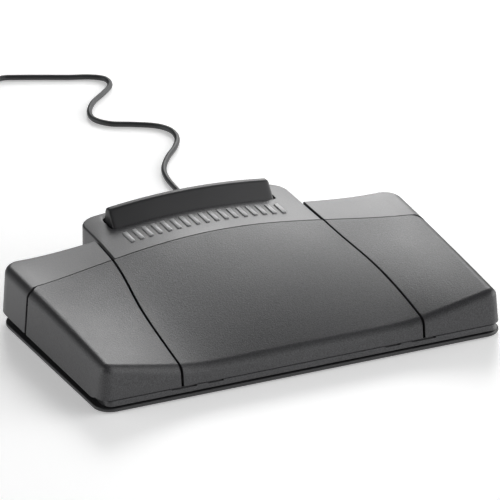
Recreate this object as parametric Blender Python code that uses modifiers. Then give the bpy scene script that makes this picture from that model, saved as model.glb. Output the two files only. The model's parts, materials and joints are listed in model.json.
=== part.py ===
"""Foot control for a desk recorder: three hinged pedals and a top bar on a weighted base.

Run with: blender --background --python part.py
Units are metres, +Z is up, +Y points to the rear, and X = 0 is the plane of symmetry.
The origin is on the floor, under the middle of the body.
"""
import math

import bmesh
import bpy
from mathutils import Matrix, Vector

MM = 0.001
GAP = 0.3 * MM                  # clearance between pieces that touch

# ---- driving dimensions -------------------------------------------------------------------
FRONT_Y = -100.2 * MM           # top edge of the front faces
HINGE_Y, HINGE_Z = -101.0 * MM, 9.3 * MM
WING_REAR_Y = 67.5 * MM         # rear edge of the wing pedals
CENTRE_REAR_Y = 101.6 * MM      # rear edge of the centre pedal
SKIRT_HALF, SKIRT_FLARE = 147.5 * MM, 0.027         # half width of the skirts at Y = 0, and its slope
RIM_HALF, RIM_FLARE = 149.2 * MM, 0.034             # the same of the base rim
SKIRT_BOTTOM = 6.7 * MM         # lower edge of the skirts, at the front
WALL = 2.2 * MM                 # thickness of the moulded shells
SIDE_DRAFT, FRONT_DRAFT = 2.0 * MM, 0.8 * MM
SEAM_GAP = 1.5 * MM             # gap between neighbouring pedals
CAP_GAP = 0.6 * MM              # gap between a tread and its rear cap

FLOOR_BOTTOM, FLOOR_TOP = 1.2 * MM, 3.8 * MM        # base floor plate
BASE_FRONT_Y, BASE_WING_Y, BASE_REAR_Y = -102.1 * MM, 60.0 * MM, 94.5 * MM
BASE_NECK_HALF = 77.5 * MM
BASE_WALL_INSET, BASE_WALL_T, BASE_WALL_TOP = 5.4 * MM, 2.0 * MM, 12.0 * MM

SILL_HALF, SILL_CORNER = 140.8 * MM, 4.5 * MM
SILL_FRONT_Y, SILL_REAR_Y, SILL_T = -101.7 * MM, -94.5 * MM, 2.2 * MM
SILL_BOTTOM, SILL_TOP = 5.0 * MM, 9.1 * MM
SLIT_DEPTH = 0.8 * MM
SLITS = ((58.5 * MM, 69.5 * MM), (77.5 * MM, 95.5 * MM))    # low slits on each side of the sill's middle

SPRING_X, SPRING_Y = 102.0 * MM, 46.0 * MM          # wing springs
CENTRE_SPRING_X, CENTRE_SPRING_Y = 42.0 * MM, 57.0 * MM
BUMPER_X, BUMPER_Y = 124.0 * MM, 45.0 * MM
BUMPER_TOP = 18.0 * MM
POST_BOTTOM = 21.0 * MM         # lower end of the posts under the caps
POST_R = 5.5 * MM

BOARD_Y, BOARD_HALF_X, BOARD_HALF_Y = 8.0 * MM, 112.0 * MM, 9.0 * MM
BOARD_BOTTOM, BOARD_T = 9.0 * MM, 1.6 * MM
MAGNET_X = 102.0 * MM
MAGNET_BOTTOM, MAGNET_H, MAGNET_R = 16.0 * MM, 3.0 * MM, 5.0 * MM

BAR_HALF = 59.5 * MM
BAR_FRONT_Y, BAR_REAR_Y = 74.9 * MM, 91.6 * MM
BAR_RIDGE_Y, BAR_RIDGE_Z, BAR_ARCH = 86.3 * MM, 57.2 * MM, 4.0 * MM
BAR_BOTTOM = 38.5 * MM
SLOT_HALF, SLOT_FRONT_Y, SLOT_REAR_Y, SLOT_CORNER = 61.0 * MM, 74.0 * MM, 93.2 * MM, 2.6 * MM
BAR_PIN_Y, BAR_PIN_Z, BAR_PIN_R, BAR_PIN_HALF = 88.6 * MM, 41.0 * MM, 1.1 * MM, 66.5 * MM
CRADLE_FLOOR_TOP = 30.0 * MM

CORD_R = 2.0 * MM
CORD_X = 40.0 * MM              # the cord leaves the base wall here
CORD_EXIT_Z = 7.2 * MM
RELIEF_START_Y, RELIEF_END_Y = 84.0 * MM, 113.0 * MM
COIL_CENTRE = (-26.0 * MM, 453.0 * MM)
COIL_MID_R, COIL_HALF_WIDTH, COIL_TOP = 22.0 * MM, 8.0 * MM, 16.2 * MM

# ---- scene --------------------------------------------------------------------------------
for old in list(bpy.data.objects):
    bpy.data.objects.remove(old, do_unlink=True)
PARTS = bpy.data.collections.new("foot_control")
CUTTERS = bpy.data.collections.new("cutters")
bpy.context.scene.collection.children.link(PARTS)
bpy.context.scene.collection.children.link(CUTTERS)


def material(name, colour, roughness, metallic=0.0):
    """A Principled material with one colour, roughness and metallic value."""
    made = bpy.data.materials.new(name)
    made.use_nodes = True
    shader = made.node_tree.nodes["Principled BSDF"]
    shader.inputs["Base Color"].default_value = (*colour, 1.0)
    shader.inputs["Roughness"].default_value = roughness
    shader.inputs["Metallic"].default_value = metallic
    return made


GRAIN = material("grained_plastic", (0.055, 0.055, 0.06), 0.5)
SATIN = material("satin_plastic", (0.07, 0.07, 0.075), 0.4)
BLACK = material("black_plastic", (0.02, 0.02, 0.022), 0.45)
RUBBER = material("black_rubber", (0.02, 0.02, 0.02), 0.8)
STEEL = material("zinc_steel", (0.6, 0.6, 0.62), 0.35, 1.0)
SPRING_STEEL = material("spring_steel", (0.5, 0.5, 0.52), 0.3, 1.0)
MAGNET = material("magnet", (0.35, 0.35, 0.37), 0.3, 1.0)
BOARD = material("circuit_board", (0.02, 0.16, 0.06), 0.5)
CHIP = material("chip_epoxy", (0.015, 0.015, 0.015), 0.5)
CABLE = material("cable_jacket", (0.06, 0.06, 0.065), 0.5)


# ---- helpers ------------------------------------------------------------------------------
def add_mesh(name, mesh, mat, collection=None):
    """Link a mesh as an object of that name."""
    made = bpy.data.objects.new(name, mesh)
    mesh.materials.clear()
    if mat is not None:
        mesh.materials.append(mat)
    (collection or PARTS).objects.link(made)
    return made


def from_bmesh(name, work, mat, collection=None):
    """Turn a bmesh into an object, with its faces pointing out."""
    bmesh.ops.recalc_face_normals(work, faces=work.faces)
    mesh = bpy.data.meshes.new(name)
    work.to_mesh(mesh)
    work.free()
    return add_mesh(name, mesh, mat, collection)


def box(name, low, high, mat=None, bevel=0.0, collection=None):
    """A box between two corners, with its edges bevelled if asked."""
    work = bmesh.new()
    bmesh.ops.create_cube(work, size=1.0)
    for vert in work.verts:
        vert.co = Vector([lo + (c + 0.5) * (hi - lo) for c, lo, hi in zip(vert.co, low, high)])
    if bevel:
        bmesh.ops.bevel(work, geom=list(work.edges), offset=bevel, segments=1, affect="EDGES")
    return from_bmesh(name, work, mat, collection)


def rod(name, start, end, radius, mat=None, sides=16, end_radius=None, collection=None):
    """A cylinder or cone frustum from one point to another."""
    start, end = Vector(start), Vector(end)
    axis = end - start
    work = bmesh.new()
    bmesh.ops.create_cone(work, cap_ends=True, segments=sides, radius1=radius,
                          radius2=radius if end_radius is None else end_radius, depth=axis.length)
    made = from_bmesh(name, work, mat, collection)
    turn = Vector((0, 0, 1)).rotation_difference(axis)
    made.data.transform(turn.to_matrix().to_4x4())
    made.data.transform(Matrix.Translation((start + end) / 2))
    made.data.shade_smooth()
    made.data.set_sharp_from_angle(angle=math.radians(40))
    return made


def cutter(made):
    """Mark an object as a cutter: it is not part of the model."""
    made.hide_render = True
    made.display_type = "WIRE"
    return made


def boolean(target, other, operation):
    """Cut or join one object into another with an exact Boolean."""
    step = target.modifiers.new(other.name, "BOOLEAN")
    step.operation = operation
    step.solver = "EXACT"
    step.object = cutter(other)


def rounded_outline(corners, steps=4):
    """Points of a closed outline: corners are (x, y, radius) in counterclockwise order."""
    points = []
    for index, (x, y, radius) in enumerate(corners):
        here = Vector((x, y))
        back = (Vector(corners[index - 1][:2]) - here).normalized()
        ahead = (Vector(corners[(index + 1) % len(corners)][:2]) - here).normalized()
        if radius == 0:
            points.append(here)
            continue
        half = back.angle(ahead) / 2
        reach = radius / math.tan(half)
        centre = here + (back + ahead).normalized() * (radius / math.sin(half))
        first, last = here + back * reach - centre, here + ahead * reach - centre
        swing = first.angle_signed(last)
        for step in range(steps + 1):
            turn = -swing * step / steps
            points.append(centre + Vector((first.x * math.cos(turn) - first.y * math.sin(turn),
                                           first.x * math.sin(turn) + first.y * math.cos(turn))))
    return points


def curve_prism(name, outlines, bottom, top, mat=None, collection=None):
    """A flat outline, with holes if it has more than one loop, given a thickness."""
    data = bpy.data.curves.new(name, "CURVE")
    data.dimensions = "2D"
    data.fill_mode = "BOTH"
    data.extrude = (top - bottom) / 2
    for outline in outlines:
        spline = data.splines.new("POLY")
        spline.points.add(len(outline) - 1)
        for point, place in zip(spline.points, outline):
            point.co = (place[0], place[1], 0.0, 1.0)
        spline.use_cyclic_u = True
    return meshed(name, data, (0, 0, (top + bottom) / 2), mat, collection)


def meshed(name, data, place, mat, collection=None):
    """Make a curve into a mesh object whose caps are welded on."""
    curve = bpy.data.objects.new(name + "_curve", data)
    bpy.context.scene.collection.objects.link(curve)
    curve.location = place
    bpy.context.view_layer.update()
    mesh = bpy.data.meshes.new_from_object(curve.evaluated_get(bpy.context.evaluated_depsgraph_get()))
    mesh.transform(curve.matrix_world)
    bpy.data.objects.remove(curve, do_unlink=True)
    work = bmesh.new()
    work.from_mesh(mesh)
    bpy.data.meshes.remove(mesh)
    bmesh.ops.remove_doubles(work, verts=work.verts, dist=1e-6)
    return from_bmesh(name, work, mat, collection)


def tube(name, points, radius, mat, smooth=True):
    """A round wire or cable along a list of points, with closed ends."""
    data = bpy.data.curves.new(name, "CURVE")
    data.dimensions = "3D"
    data.bevel_depth = radius
    data.bevel_resolution = 2
    data.use_fill_caps = True
    spline = data.splines.new("POLY")
    spline.points.add(len(points) - 1)
    for point, place in zip(spline.points, points):
        point.co = (*place, 1.0)
    made = meshed(name, data, (0, 0, 0), mat)
    if smooth:
        made.data.shade_smooth()
        made.data.set_sharp_from_angle(angle=math.radians(50))
    return made


def helix(name, centre, radius, wire, bottom, top, turns, steps=8):
    """A compression spring: a wire wound round a vertical axis."""
    count = turns * steps
    low, high = bottom + wire, top - wire
    points = []
    for index in range(count + 1):
        angle = 2 * math.pi * index / steps
        points.append((centre[0] + radius * math.cos(angle), centre[1] + radius * math.sin(angle),
                       low + (high - low) * index / count))
    return tube(name, points, wire, SPRING_STEEL)


def screw(name, head, direction, head_r, head_h, shank_r, shank_length, sides=12):
    """A pan-head screw with a round drive recess: rings turned round its axis, along its direction."""
    tip = -head_h - shank_length
    rings = [(head_r * 0.5, -head_h * 0.6), (head_r * 0.5, 0.0), (head_r * 0.85, 0.0), (head_r, -head_h * 0.35),
             (head_r, -head_h), (shank_r, -head_h), (shank_r, tip)]
    work = bmesh.new()
    loops = [[work.verts.new((r * math.cos(2 * math.pi * k / sides), r * math.sin(2 * math.pi * k / sides), z))
              for k in range(sides)] for r, z in rings]
    for lower, upper in zip(loops, loops[1:]):
        for k in range(sides):
            after = (k + 1) % sides
            work.faces.new((lower[k], lower[after], upper[after], upper[k]))
    work.faces.new(loops[0])
    work.faces.new(loops[-1])
    made = from_bmesh(name, work, STEEL)
    turn = Vector((0, 0, -1)).rotation_difference(Vector(direction))
    made.data.transform(turn.to_matrix().to_4x4())
    made.data.transform(Matrix.Translation(Vector(head)))
    return made


# ---- the shape of the top -----------------------------------------------------------------
def seam_x(y):
    """Half width of the centre pedal: the gaps beside it run straight, then spread to the front."""
    return (76.4 + 5.45 * (1 - math.tanh((y / MM + 4) / 38))) * MM


def seam_y(x):
    """The bowed line between the treads and the rear caps."""
    q = (x / MM / 100) ** 2
    return (38.6 - 5.5 * q - 1.2 * q * q) * MM


def seam_height(x):
    """Height of the top along seam_y."""
    q = (x / MM / 100) ** 2
    return (46.4 - 10.9 * q + 3.36 * q * q) * MM


def front_height(x):
    """Height of the front edge: low across the centre, rising towards the outer corners."""
    rise = (abs(x) / MM - 77.0) / 8.0
    return (19.3 + 0.225 * 8.0 * math.log1p(math.exp(rise))) * MM


def top_height(x, y):
    """Height of the top surface, before its edges are rounded."""
    line = seam_y(x)
    if y > line:
        run = (y - line) / MM
        return seam_height(x) + (0.03 * run - 0.0003 * run * run) * MM
    u = (y - FRONT_Y) / (line - FRONT_Y)
    low = front_height(x)
    return low + (seam_height(x) - low) * (u + 0.43 * u * (1 - u))


def smooth(share):
    """Zero up to 0, one from 1 on, and an even curve between."""
    share = min(1.0, max(0.0, share))
    return share * share * (3 - 2 * share)


def skirt_bottom(x, y):
    """Lower edge of the outer skirts: nearly level, and raised to the hinge at the front corners."""
    low = SKIRT_BOTTOM + 0.004 * (y + 84 * MM)
    return low + (HINGE_Z + 0.2 * MM - low) * smooth((-84 * MM - y) / (10 * MM))


def seam_skirt_bottom(x, y):
    """Lower edge of the skirts inside the gaps between the pedals."""
    return 11.4 * MM + 0.025 * (y + 100 * MM)


def bulkhead_bottom(x, y):
    """Lower edge of the walls that meet at the seam between a tread and its cap."""
    return top_height(x, y) - 12 * MM


def front_bottom(x, y):
    """Lower edge of the front walls, just above the sill."""
    return HINGE_Z + 0.2 * MM


def seam_bend(x, y):
    """Shift of a point along Y: the cross seam turns forward where it goes over the side's fold."""
    near_seam = smooth(1.0 - abs(y - seam_y(138 * MM)) / (40 * MM))
    return -5.5 * MM * near_seam * smooth((abs(x) - 137 * MM) / (7 * MM))


# ---- moulded shells -----------------------------------------------------------------------
class Side:
    """One side of a four-sided shell: its plan line, corner inset, fold radius and skirt."""

    def __init__(self, line, inset, fold, draft, bottom, rank):
        self.line = line        # plan coordinate of the top edge, as a function along the side
        self.inset = inset      # distance from the edge to the flat of the top, along the side
        self.fold = fold        # radius of the rounded top edge
        self.draft = draft      # how far the skirt leans out at its lower edge
        self.bottom = bottom    # height of the skirt's lower edge, as a function of (x, y)
        self.rank = rank        # the side of higher rank sets the lower edge round a shared corner


def shell_surface(left, right, front, rear, offset, across, along, fold_steps, corner_steps):
    """Rings of points of one face of a shell, offset inwards, from the top to the skirt's edge."""
    def inner(side, place):
        return max(side.inset(place), offset + 0.8 * MM)

    def spot(s, t):
        x, y = 0.0, 0.0
        for _ in range(6):
            x_low = left.line(y) + inner(left, y)
            x_high = right.line(y) - inner(right, y)
            x = x_low + s * (x_high - x_low)
            y_low = front.line(x) + inner(front, x)
            y_high = rear.line(x) - inner(rear, x)
            y = y_low + t * (y_high - y_low)
        return Vector((x, y))

    grid = [[spot(i / across, j / along) for i in range(across + 1)] for j in range(along + 1)]

    def reach(side, place, axis, sign):
        """Vector from an inner point to the side's line."""
        line = side.line(place[1 - axis])
        step = [0.0, 0.0]
        step[axis] = line - sign * offset - place[axis]
        return Vector(step)

    order = []                  # (grid index, reach vector, fold radius, draft, bottom) round the border
    sides = [(front, 1, -1, [(i, 0) for i in range(across + 1)]),
             (right, 0, 1, [(across, j) for j in range(along + 1)]),
             (rear, 1, 1, [(i, along) for i in range(across, -1, -1)]),
             (left, 0, -1, [(0, j) for j in range(along, -1, -1)])]
    for number, (side, axis, sign, cells) in enumerate(sides):
        for i, j in cells:
            order.append(((i, j), reach(side, grid[j][i], axis, sign), side.fold, side.draft, side.bottom))
        after, after_axis, after_sign, _ = sides[(number + 1) % 4]
        i, j = cells[-1]
        first = reach(side, grid[j][i], axis, sign)
        last = reach(after, grid[j][i], after_axis, after_sign)
        for step in range(1, corner_steps):
            share = step / corner_steps
            angle = math.pi / 2 * share
            higher = side if side.rank >= after.rank else after
            order.append(((i, j), first * math.cos(angle) + last * math.sin(angle),
                          side.fold * (1 - share) + after.fold * share,
                          side.draft * (1 - share) + after.draft * share, higher.bottom))

    rings = []
    for level in range(fold_steps + 1):
        angle = math.pi / 2 * level / fold_steps
        ring = []
        for (i, j), arm, fold, _, _ in order:
            radius = max(fold - offset, 0.3 * MM)
            length = arm.length
            inset = radius * (1 - math.sin(angle))
            place = grid[j][i] + arm * max(0.0, (length - inset) / length)
            height = top_height(place.x, place.y) - offset - radius * (1 - math.cos(angle))
            ring.append(Vector((place.x, place.y, height)))
        rings.append(ring)
    foot = []
    for (i, j), arm, _, draft, bottom in order:
        place = grid[j][i] + arm + arm.normalized() * draft
        foot.append(Vector((place.x, place.y, bottom(place.x, place.y))))
    rings.append(foot)
    return grid, [cell for cell, *_ in order], rings


def shell(name, left, right, front, rear, mat, across=5, along=7, fold_steps=2, corner_steps=3):
    """A moulded shell, open below: its outer and inner faces are joined along the skirt's edge."""
    work = bmesh.new()
    feet = []
    for offset, steps in ((0.0, fold_steps), (WALL, 1)):
        grid, cells, rings = shell_surface(left, right, front, rear, offset, across, along,
                                           steps, corner_steps)
        tops = [[work.verts.new((p.x, p.y, top_height(p.x, p.y) - offset)) for p in row] for row in grid]
        for j in range(along):
            for i in range(across):
                work.faces.new((tops[j][i], tops[j][i + 1], tops[j + 1][i + 1], tops[j + 1][i]))
        before = [tops[j][i] for i, j in cells]
        for ring in rings:
            made = [work.verts.new(point) for point in ring]
            for k in range(len(made)):
                after = (k + 1) % len(made)
                loop = [before[k], before[after], made[after], made[k]]
                corners = [v for n, v in enumerate(loop) if v is not loop[n - 1]]
                work.faces.new(corners)
            before = made
        feet.append(before)
    outer, inner = feet
    for k in range(len(outer)):
        after = (k + 1) % len(outer)
        work.faces.new((outer[k], outer[after], inner[after], inner[k]))
    bmesh.ops.remove_doubles(work, verts=work.verts, dist=1e-7)
    for vert in work.verts:
        x, y, z = vert.co
        moved = y + seam_bend(x, y)
        share = max(0.0, z - SKIRT_BOTTOM) / (top_height(x, y) - SKIRT_BOTTOM)
        vert.co = (x, moved, z + (top_height(x, moved) - top_height(x, y)) * share)
    made = from_bmesh(name, work, mat)
    made.data.shade_smooth()
    made.data.set_sharp_from_angle(angle=math.radians(35))
    return made


def constant(value):
    return lambda _: value


def slope(start, start_value, end, end_value):
    """A value that changes evenly along a side."""
    return lambda place: start_value + (end_value - start_value) * min(1, max(0, (place - start) / (end - start)))


def mirrored(function):
    return lambda place: -function(place)


def outer_line(y):
    """Half width of the top edge of the outer skirts."""
    return SKIRT_HALF - SIDE_DRAFT + SKIRT_FLARE * y


SEAM_INSET, SEAM_FOLD = constant(1.2 * MM), 0.8 * MM
tread_front = Side(constant(FRONT_Y), constant(6.5 * MM), 5.5 * MM, FRONT_DRAFT, front_bottom, 1)
tread_rear = Side(lambda x: seam_y(x) - CAP_GAP / 2, SEAM_INSET, SEAM_FOLD, 0.0, bulkhead_bottom, 3)
cap_front = Side(lambda x: seam_y(x) + CAP_GAP / 2, SEAM_INSET, SEAM_FOLD, 0.0, bulkhead_bottom, 3)


def wing(name, sign):
    """The two shells of a wing pedal. sign is -1 on the left and 1 on the right."""
    def edge(y):
        return sign * outer_line(y)

    def gap_edge(y):
        return sign * (seam_x(y) + SEAM_GAP / 2)

    def rear_inset(x):
        return slope(80 * MM, 2.2 * MM, 130 * MM, 13 * MM)(abs(x))

    far = Side(edge, slope(-90 * MM, 6.5 * MM, 40 * MM, 7 * MM), 6.5 * MM, SIDE_DRAFT, skirt_bottom, 2)
    far_cap = Side(edge, constant(13 * MM), 6.5 * MM, SIDE_DRAFT, skirt_bottom, 2)
    near = Side(gap_edge, SEAM_INSET, SEAM_FOLD, 0.0, seam_skirt_bottom, 0)
    back = Side(lambda x: WING_REAR_Y - 1.0 * MM * (x / (140 * MM)) ** 2, rear_inset, 2.0 * MM, 1.0 * MM,
                skirt_bottom, 2)
    left, right = (far, near) if sign < 0 else (near, far)
    left_cap, right_cap = (far_cap, near) if sign < 0 else (near, far_cap)
    tread = shell(name + "_tread", left, right, tread_front, tread_rear, GRAIN)
    cap = shell(name + "_cap", left_cap, right_cap, cap_front, back, SATIN, along=4)
    return tread, cap


def centre_edge(y):
    """Half width of the centre pedal's own shells."""
    return seam_x(y) - SEAM_GAP / 2


def centre_bottom(x, y):
    """The centre cap's skirt is short beside the wings and full behind them."""
    share = min(1.0, max(0.0, (y - 60 * MM) / (10 * MM)))
    return seam_skirt_bottom(x, y) * (1 - share) + skirt_bottom(x, y) * share


def centre_shells():
    """The two shells of the centre pedal, before the slot for the bar is cut."""
    corner = slope(60 * MM, 1.4 * MM, 84 * MM, 13 * MM)
    left, left_cap = [Side(mirrored(centre_edge), inset, fold, 0.0, bottom, 0)
                      for inset, fold, bottom in ((SEAM_INSET, SEAM_FOLD, seam_skirt_bottom),
                                                  (corner, 1.3 * MM, centre_bottom))]
    right, right_cap = [Side(centre_edge, edge.inset, edge.fold, 0.0, edge.bottom, 0) for edge in (left, left_cap)]
    back = Side(constant(CENTRE_REAR_Y), constant(13 * MM), 1.8 * MM, 0.5 * MM, skirt_bottom, 0)
    tread = shell("centre_tread", left, right, tread_front, tread_rear, GRAIN, across=8)
    cap = shell("centre_cap", left_cap, right_cap, cap_front, back, SATIN, across=8, along=5)
    return tread, cap


def post(shell_object, name, x, y, bottom, radius):
    """A round post under a shell, reaching up into its top."""
    top = top_height(x, y) - WALL / 2
    boolean(shell_object, rod(name, (x, y, bottom), (x, y, top), radius, sides=12, collection=CUTTERS),
            "UNION")


# ---- pedals -------------------------------------------------------------------------------
left_tread, left_cap = wing("left", -1)
right_tread, right_cap = wing("right", 1)
centre_tread, centre_cap = centre_shells()

for body, tread, cap, post_x, magnet_x in (("left", left_tread, left_cap, -SPRING_X, -MAGNET_X),
                                           ("right", right_tread, right_cap, SPRING_X, MAGNET_X),
                                           ("centre", centre_tread, centre_cap, 0.0, 0.0)):
    magnet_top = MAGNET_BOTTOM + MAGNET_H
    post(tread, body + "_magnet_post", magnet_x, BOARD_Y, magnet_top + GAP, MAGNET_R)
    rod(body + "_magnet", (magnet_x, BOARD_Y, MAGNET_BOTTOM), (magnet_x, BOARD_Y, magnet_top),
        MAGNET_R, MAGNET, sides=16)
    if body == "centre":
        places = [(-CENTRE_SPRING_X, CENTRE_SPRING_Y), (CENTRE_SPRING_X, CENTRE_SPRING_Y), (0.0, CENTRE_SPRING_Y)]
    else:
        places = [(post_x, SPRING_Y), (math.copysign(BUMPER_X, post_x), BUMPER_Y)]
    for number, (x, y) in enumerate(places):
        post(cap, f"{body}_post_{number}", x, y, POST_BOTTOM, POST_R)
    screw_x = 20 * MM if body == "centre" else 14 * MM
    middle = 0.0 if body == "centre" else math.copysign(112 * MM, post_x)
    for number, x in enumerate((middle - screw_x, middle + screw_x), 1):
        y, z = seam_y(x), top_height(x, seam_y(x)) - 7 * MM
        for part in (tread, cap):
            hole = rod(f"{part.name}_hole_{number}", (x, y - 8 * MM, z), (x, y + 8 * MM, z), 1.9 * MM,
                       sides=12, collection=CUTTERS)
            boolean(part, hole, "DIFFERENCE")
        head_y = y + CAP_GAP / 2 + WALL + 2.0 * MM + 1.0 * MM     # clear of the slanted bulkhead
        screw(f"{body}_cap_screw_{number}", (x, head_y, z), (0, -1, 0), 3.0 * MM, 2.0 * MM, 1.5 * MM, 8 * MM)

# the slot for the bar, its cradle and the plain raised ribs in front of it
slot = rounded_outline([(-SLOT_HALF, SLOT_FRONT_Y, SLOT_CORNER), (SLOT_HALF, SLOT_FRONT_Y, SLOT_CORNER),
                        (SLOT_HALF, SLOT_REAR_Y, SLOT_CORNER), (-SLOT_HALF, SLOT_REAR_Y, SLOT_CORNER)], 2)
boolean(centre_cap, curve_prism("bar_slot", [slot], 34 * MM, 62 * MM, collection=CUTTERS), "DIFFERENCE")

RIB_COUNT, RIB_PITCH, RIB_WIDTH, RIB_REACH, RIB_HEIGHT = 17, 7.0 * MM, 3.2 * MM, 7.5 * MM, 0.8 * MM
for number in range(RIB_COUNT):
    x = (number - (RIB_COUNT - 1) / 2) * RIB_PITCH
    y = seam_y(x) + 21 * MM
    z = top_height(x, y)
    boolean(centre_cap, box(f"rib_{number}", (x - RIB_WIDTH / 2, y - RIB_REACH, z - 1.2 * MM),
                            (x + RIB_WIDTH / 2, y + RIB_REACH, z + RIB_HEIGHT), collection=CUTTERS), "UNION")

CRADLE_WALL, CRADLE_TOP = 3.0 * MM, 42.6 * MM
CRADLE_FRONT, CRADLE_REAR = 76.5 * MM, 91.0 * MM
cradle_in = SLOT_HALF + 0.8 * MM
cradle_out = cradle_in + CRADLE_WALL
cradle_low = CRADLE_FLOOR_TOP - CRADLE_WALL
cradle = curve_prism("bar_cradle", [[(-cradle_out, cradle_low), (cradle_out, cradle_low), (cradle_out, CRADLE_TOP),
                                     (cradle_in, CRADLE_TOP), (cradle_in, CRADLE_FLOOR_TOP),
                                     (-cradle_in, CRADLE_FLOOR_TOP), (-cradle_in, CRADLE_TOP),
                                     (-cradle_out, CRADLE_TOP)]],
                     0.0, CRADLE_REAR - CRADLE_FRONT, collection=CUTTERS)
cradle.data.transform(Matrix.Rotation(math.pi / 2, 4, "X"))
cradle.data.transform(Matrix.Translation((0, CRADLE_REAR, 0)))
boolean(centre_cap, cradle, "UNION")
pin_hole = rod("bar_pin_hole", (-72 * MM, BAR_PIN_Y, BAR_PIN_Z), (72 * MM, BAR_PIN_Y, BAR_PIN_Z),
               BAR_PIN_R + 0.35 * MM, sides=12, collection=CUTTERS)
boolean(centre_cap, pin_hole, "DIFFERENCE")
notch = box("cord_notch", (CORD_X - 7 * MM, 92 * MM, 2 * MM), (CORD_X + 7 * MM, 108 * MM, 19 * MM),
            collection=CUTTERS)
boolean(centre_cap, notch, "DIFFERENCE")

# ---- top bar ------------------------------------------------------------------------------
def bar_section(x):
    """Outline of the bar in the YZ plane, counterclockwise seen from +X."""
    ridge = BAR_RIDGE_Z - BAR_ARCH * (x / BAR_HALF) ** 2
    foot = top_height(x, BAR_FRONT_Y) - 0.8 * MM
    back = top_height(x, BAR_REAR_Y) - 0.8 * MM
    points = [(BAR_FRONT_Y, BAR_BOTTOM), (BAR_REAR_Y, BAR_BOTTOM), (BAR_REAR_Y, back)]
    points += [(BAR_RIDGE_Y + 3.0 * MM, ridge - 2.0 * MM), (BAR_RIDGE_Y + 1.3 * MM, ridge - 0.4 * MM),
               (BAR_RIDGE_Y - 0.4 * MM, ridge), (BAR_RIDGE_Y - 2.4 * MM, ridge - 0.8 * MM)]
    points.append((BAR_FRONT_Y, foot))
    return points


def loft(name, sections, mat):
    """A solid through sections of equal length, each a list of (x, y, z)."""
    work = bmesh.new()
    loops = [[work.verts.new(point) for point in section] for section in sections]
    count = len(loops[0])
    for one, other in zip(loops, loops[1:]):
        for k in range(count):
            after = (k + 1) % count
            work.faces.new((one[k], one[after], other[after], other[k]))
    work.faces.new(loops[0])
    work.faces.new(loops[-1])
    return from_bmesh(name, work, mat)


STATIONS = 10
bar = loft("bar_pedal", [[(x, y, z) for y, z in bar_section(x)]
                         for x in [BAR_HALF * (2 * k / STATIONS - 1) for k in range(STATIONS + 1)]], BLACK)
bar.data.shade_smooth()
bar.data.set_sharp_from_angle(angle=math.radians(30))
CAVITY_TOP, CAVITY_HALF = 43.0 * MM, 55.0 * MM
boolean(bar, box("bar_cavity", (-CAVITY_HALF, 77.2 * MM, 36 * MM), (CAVITY_HALF, 90.0 * MM, CAVITY_TOP),
                 collection=CUTTERS), "DIFFERENCE")
boolean(bar, rod("bar_bore", (-70 * MM, BAR_PIN_Y, BAR_PIN_Z), (70 * MM, BAR_PIN_Y, BAR_PIN_Z),
                 BAR_PIN_R + 0.35 * MM, sides=12, collection=CUTTERS), "DIFFERENCE")
rod("bar_pin", (-BAR_PIN_HALF, BAR_PIN_Y, BAR_PIN_Z), (BAR_PIN_HALF, BAR_PIN_Y, BAR_PIN_Z), BAR_PIN_R,
    STEEL, sides=12)
BAR_SPRING_Y, BAR_SENSOR_X = 81.0 * MM, 26.0 * MM
rod("bar_magnet", (BAR_SENSOR_X, BAR_SPRING_Y, CAVITY_TOP - 3.0 * MM),
    (BAR_SENSOR_X, BAR_SPRING_Y, CAVITY_TOP - GAP), 3.0 * MM, MAGNET, sides=12)
helix("bar_spring", (0.0, BAR_SPRING_Y), 2.8 * MM, 0.4 * MM, CRADLE_FLOOR_TOP + GAP, CAVITY_TOP - GAP, 5)
sensor_low = CRADLE_FLOOR_TOP + GAP
box("bar_sensor_board", (14 * MM, 77.5 * MM, sensor_low), (44 * MM, 88 * MM, sensor_low + BOARD_T), BOARD)
hall_low = sensor_low + BOARD_T + GAP
box("bar_hall_sensor", (BAR_SENSOR_X - 2 * MM, BAR_SPRING_Y - 1.5 * MM, hall_low),
    (BAR_SENSOR_X + 2 * MM, BAR_SPRING_Y + 1.5 * MM, hall_low + 1.5 * MM), CHIP)

# ---- base ---------------------------------------------------------------------------------
def rim_line(y):
    """Half width of the base's rim."""
    return RIM_HALF + RIM_FLARE * y


def base_outline(inset, steps):
    """Outline of the base, moved in from the rim: wide at the wings, narrow behind the centre."""
    front, wing_rear, rear = BASE_FRONT_Y + inset, BASE_WING_Y - inset, BASE_REAR_Y - inset
    neck = BASE_NECK_HALF - inset
    half = [(rim_line(front) - inset, front, max(12 * MM - inset, 2 * MM)),
            (rim_line(wing_rear) - inset, wing_rear, max(17 * MM - inset, 3 * MM)),
            (neck, wing_rear, max(3 * MM, inset)), (neck, rear, max(13 * MM - inset, 3 * MM))]
    return rounded_outline(half + [(-x, y, r) for x, y, r in reversed(half)], steps)


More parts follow.
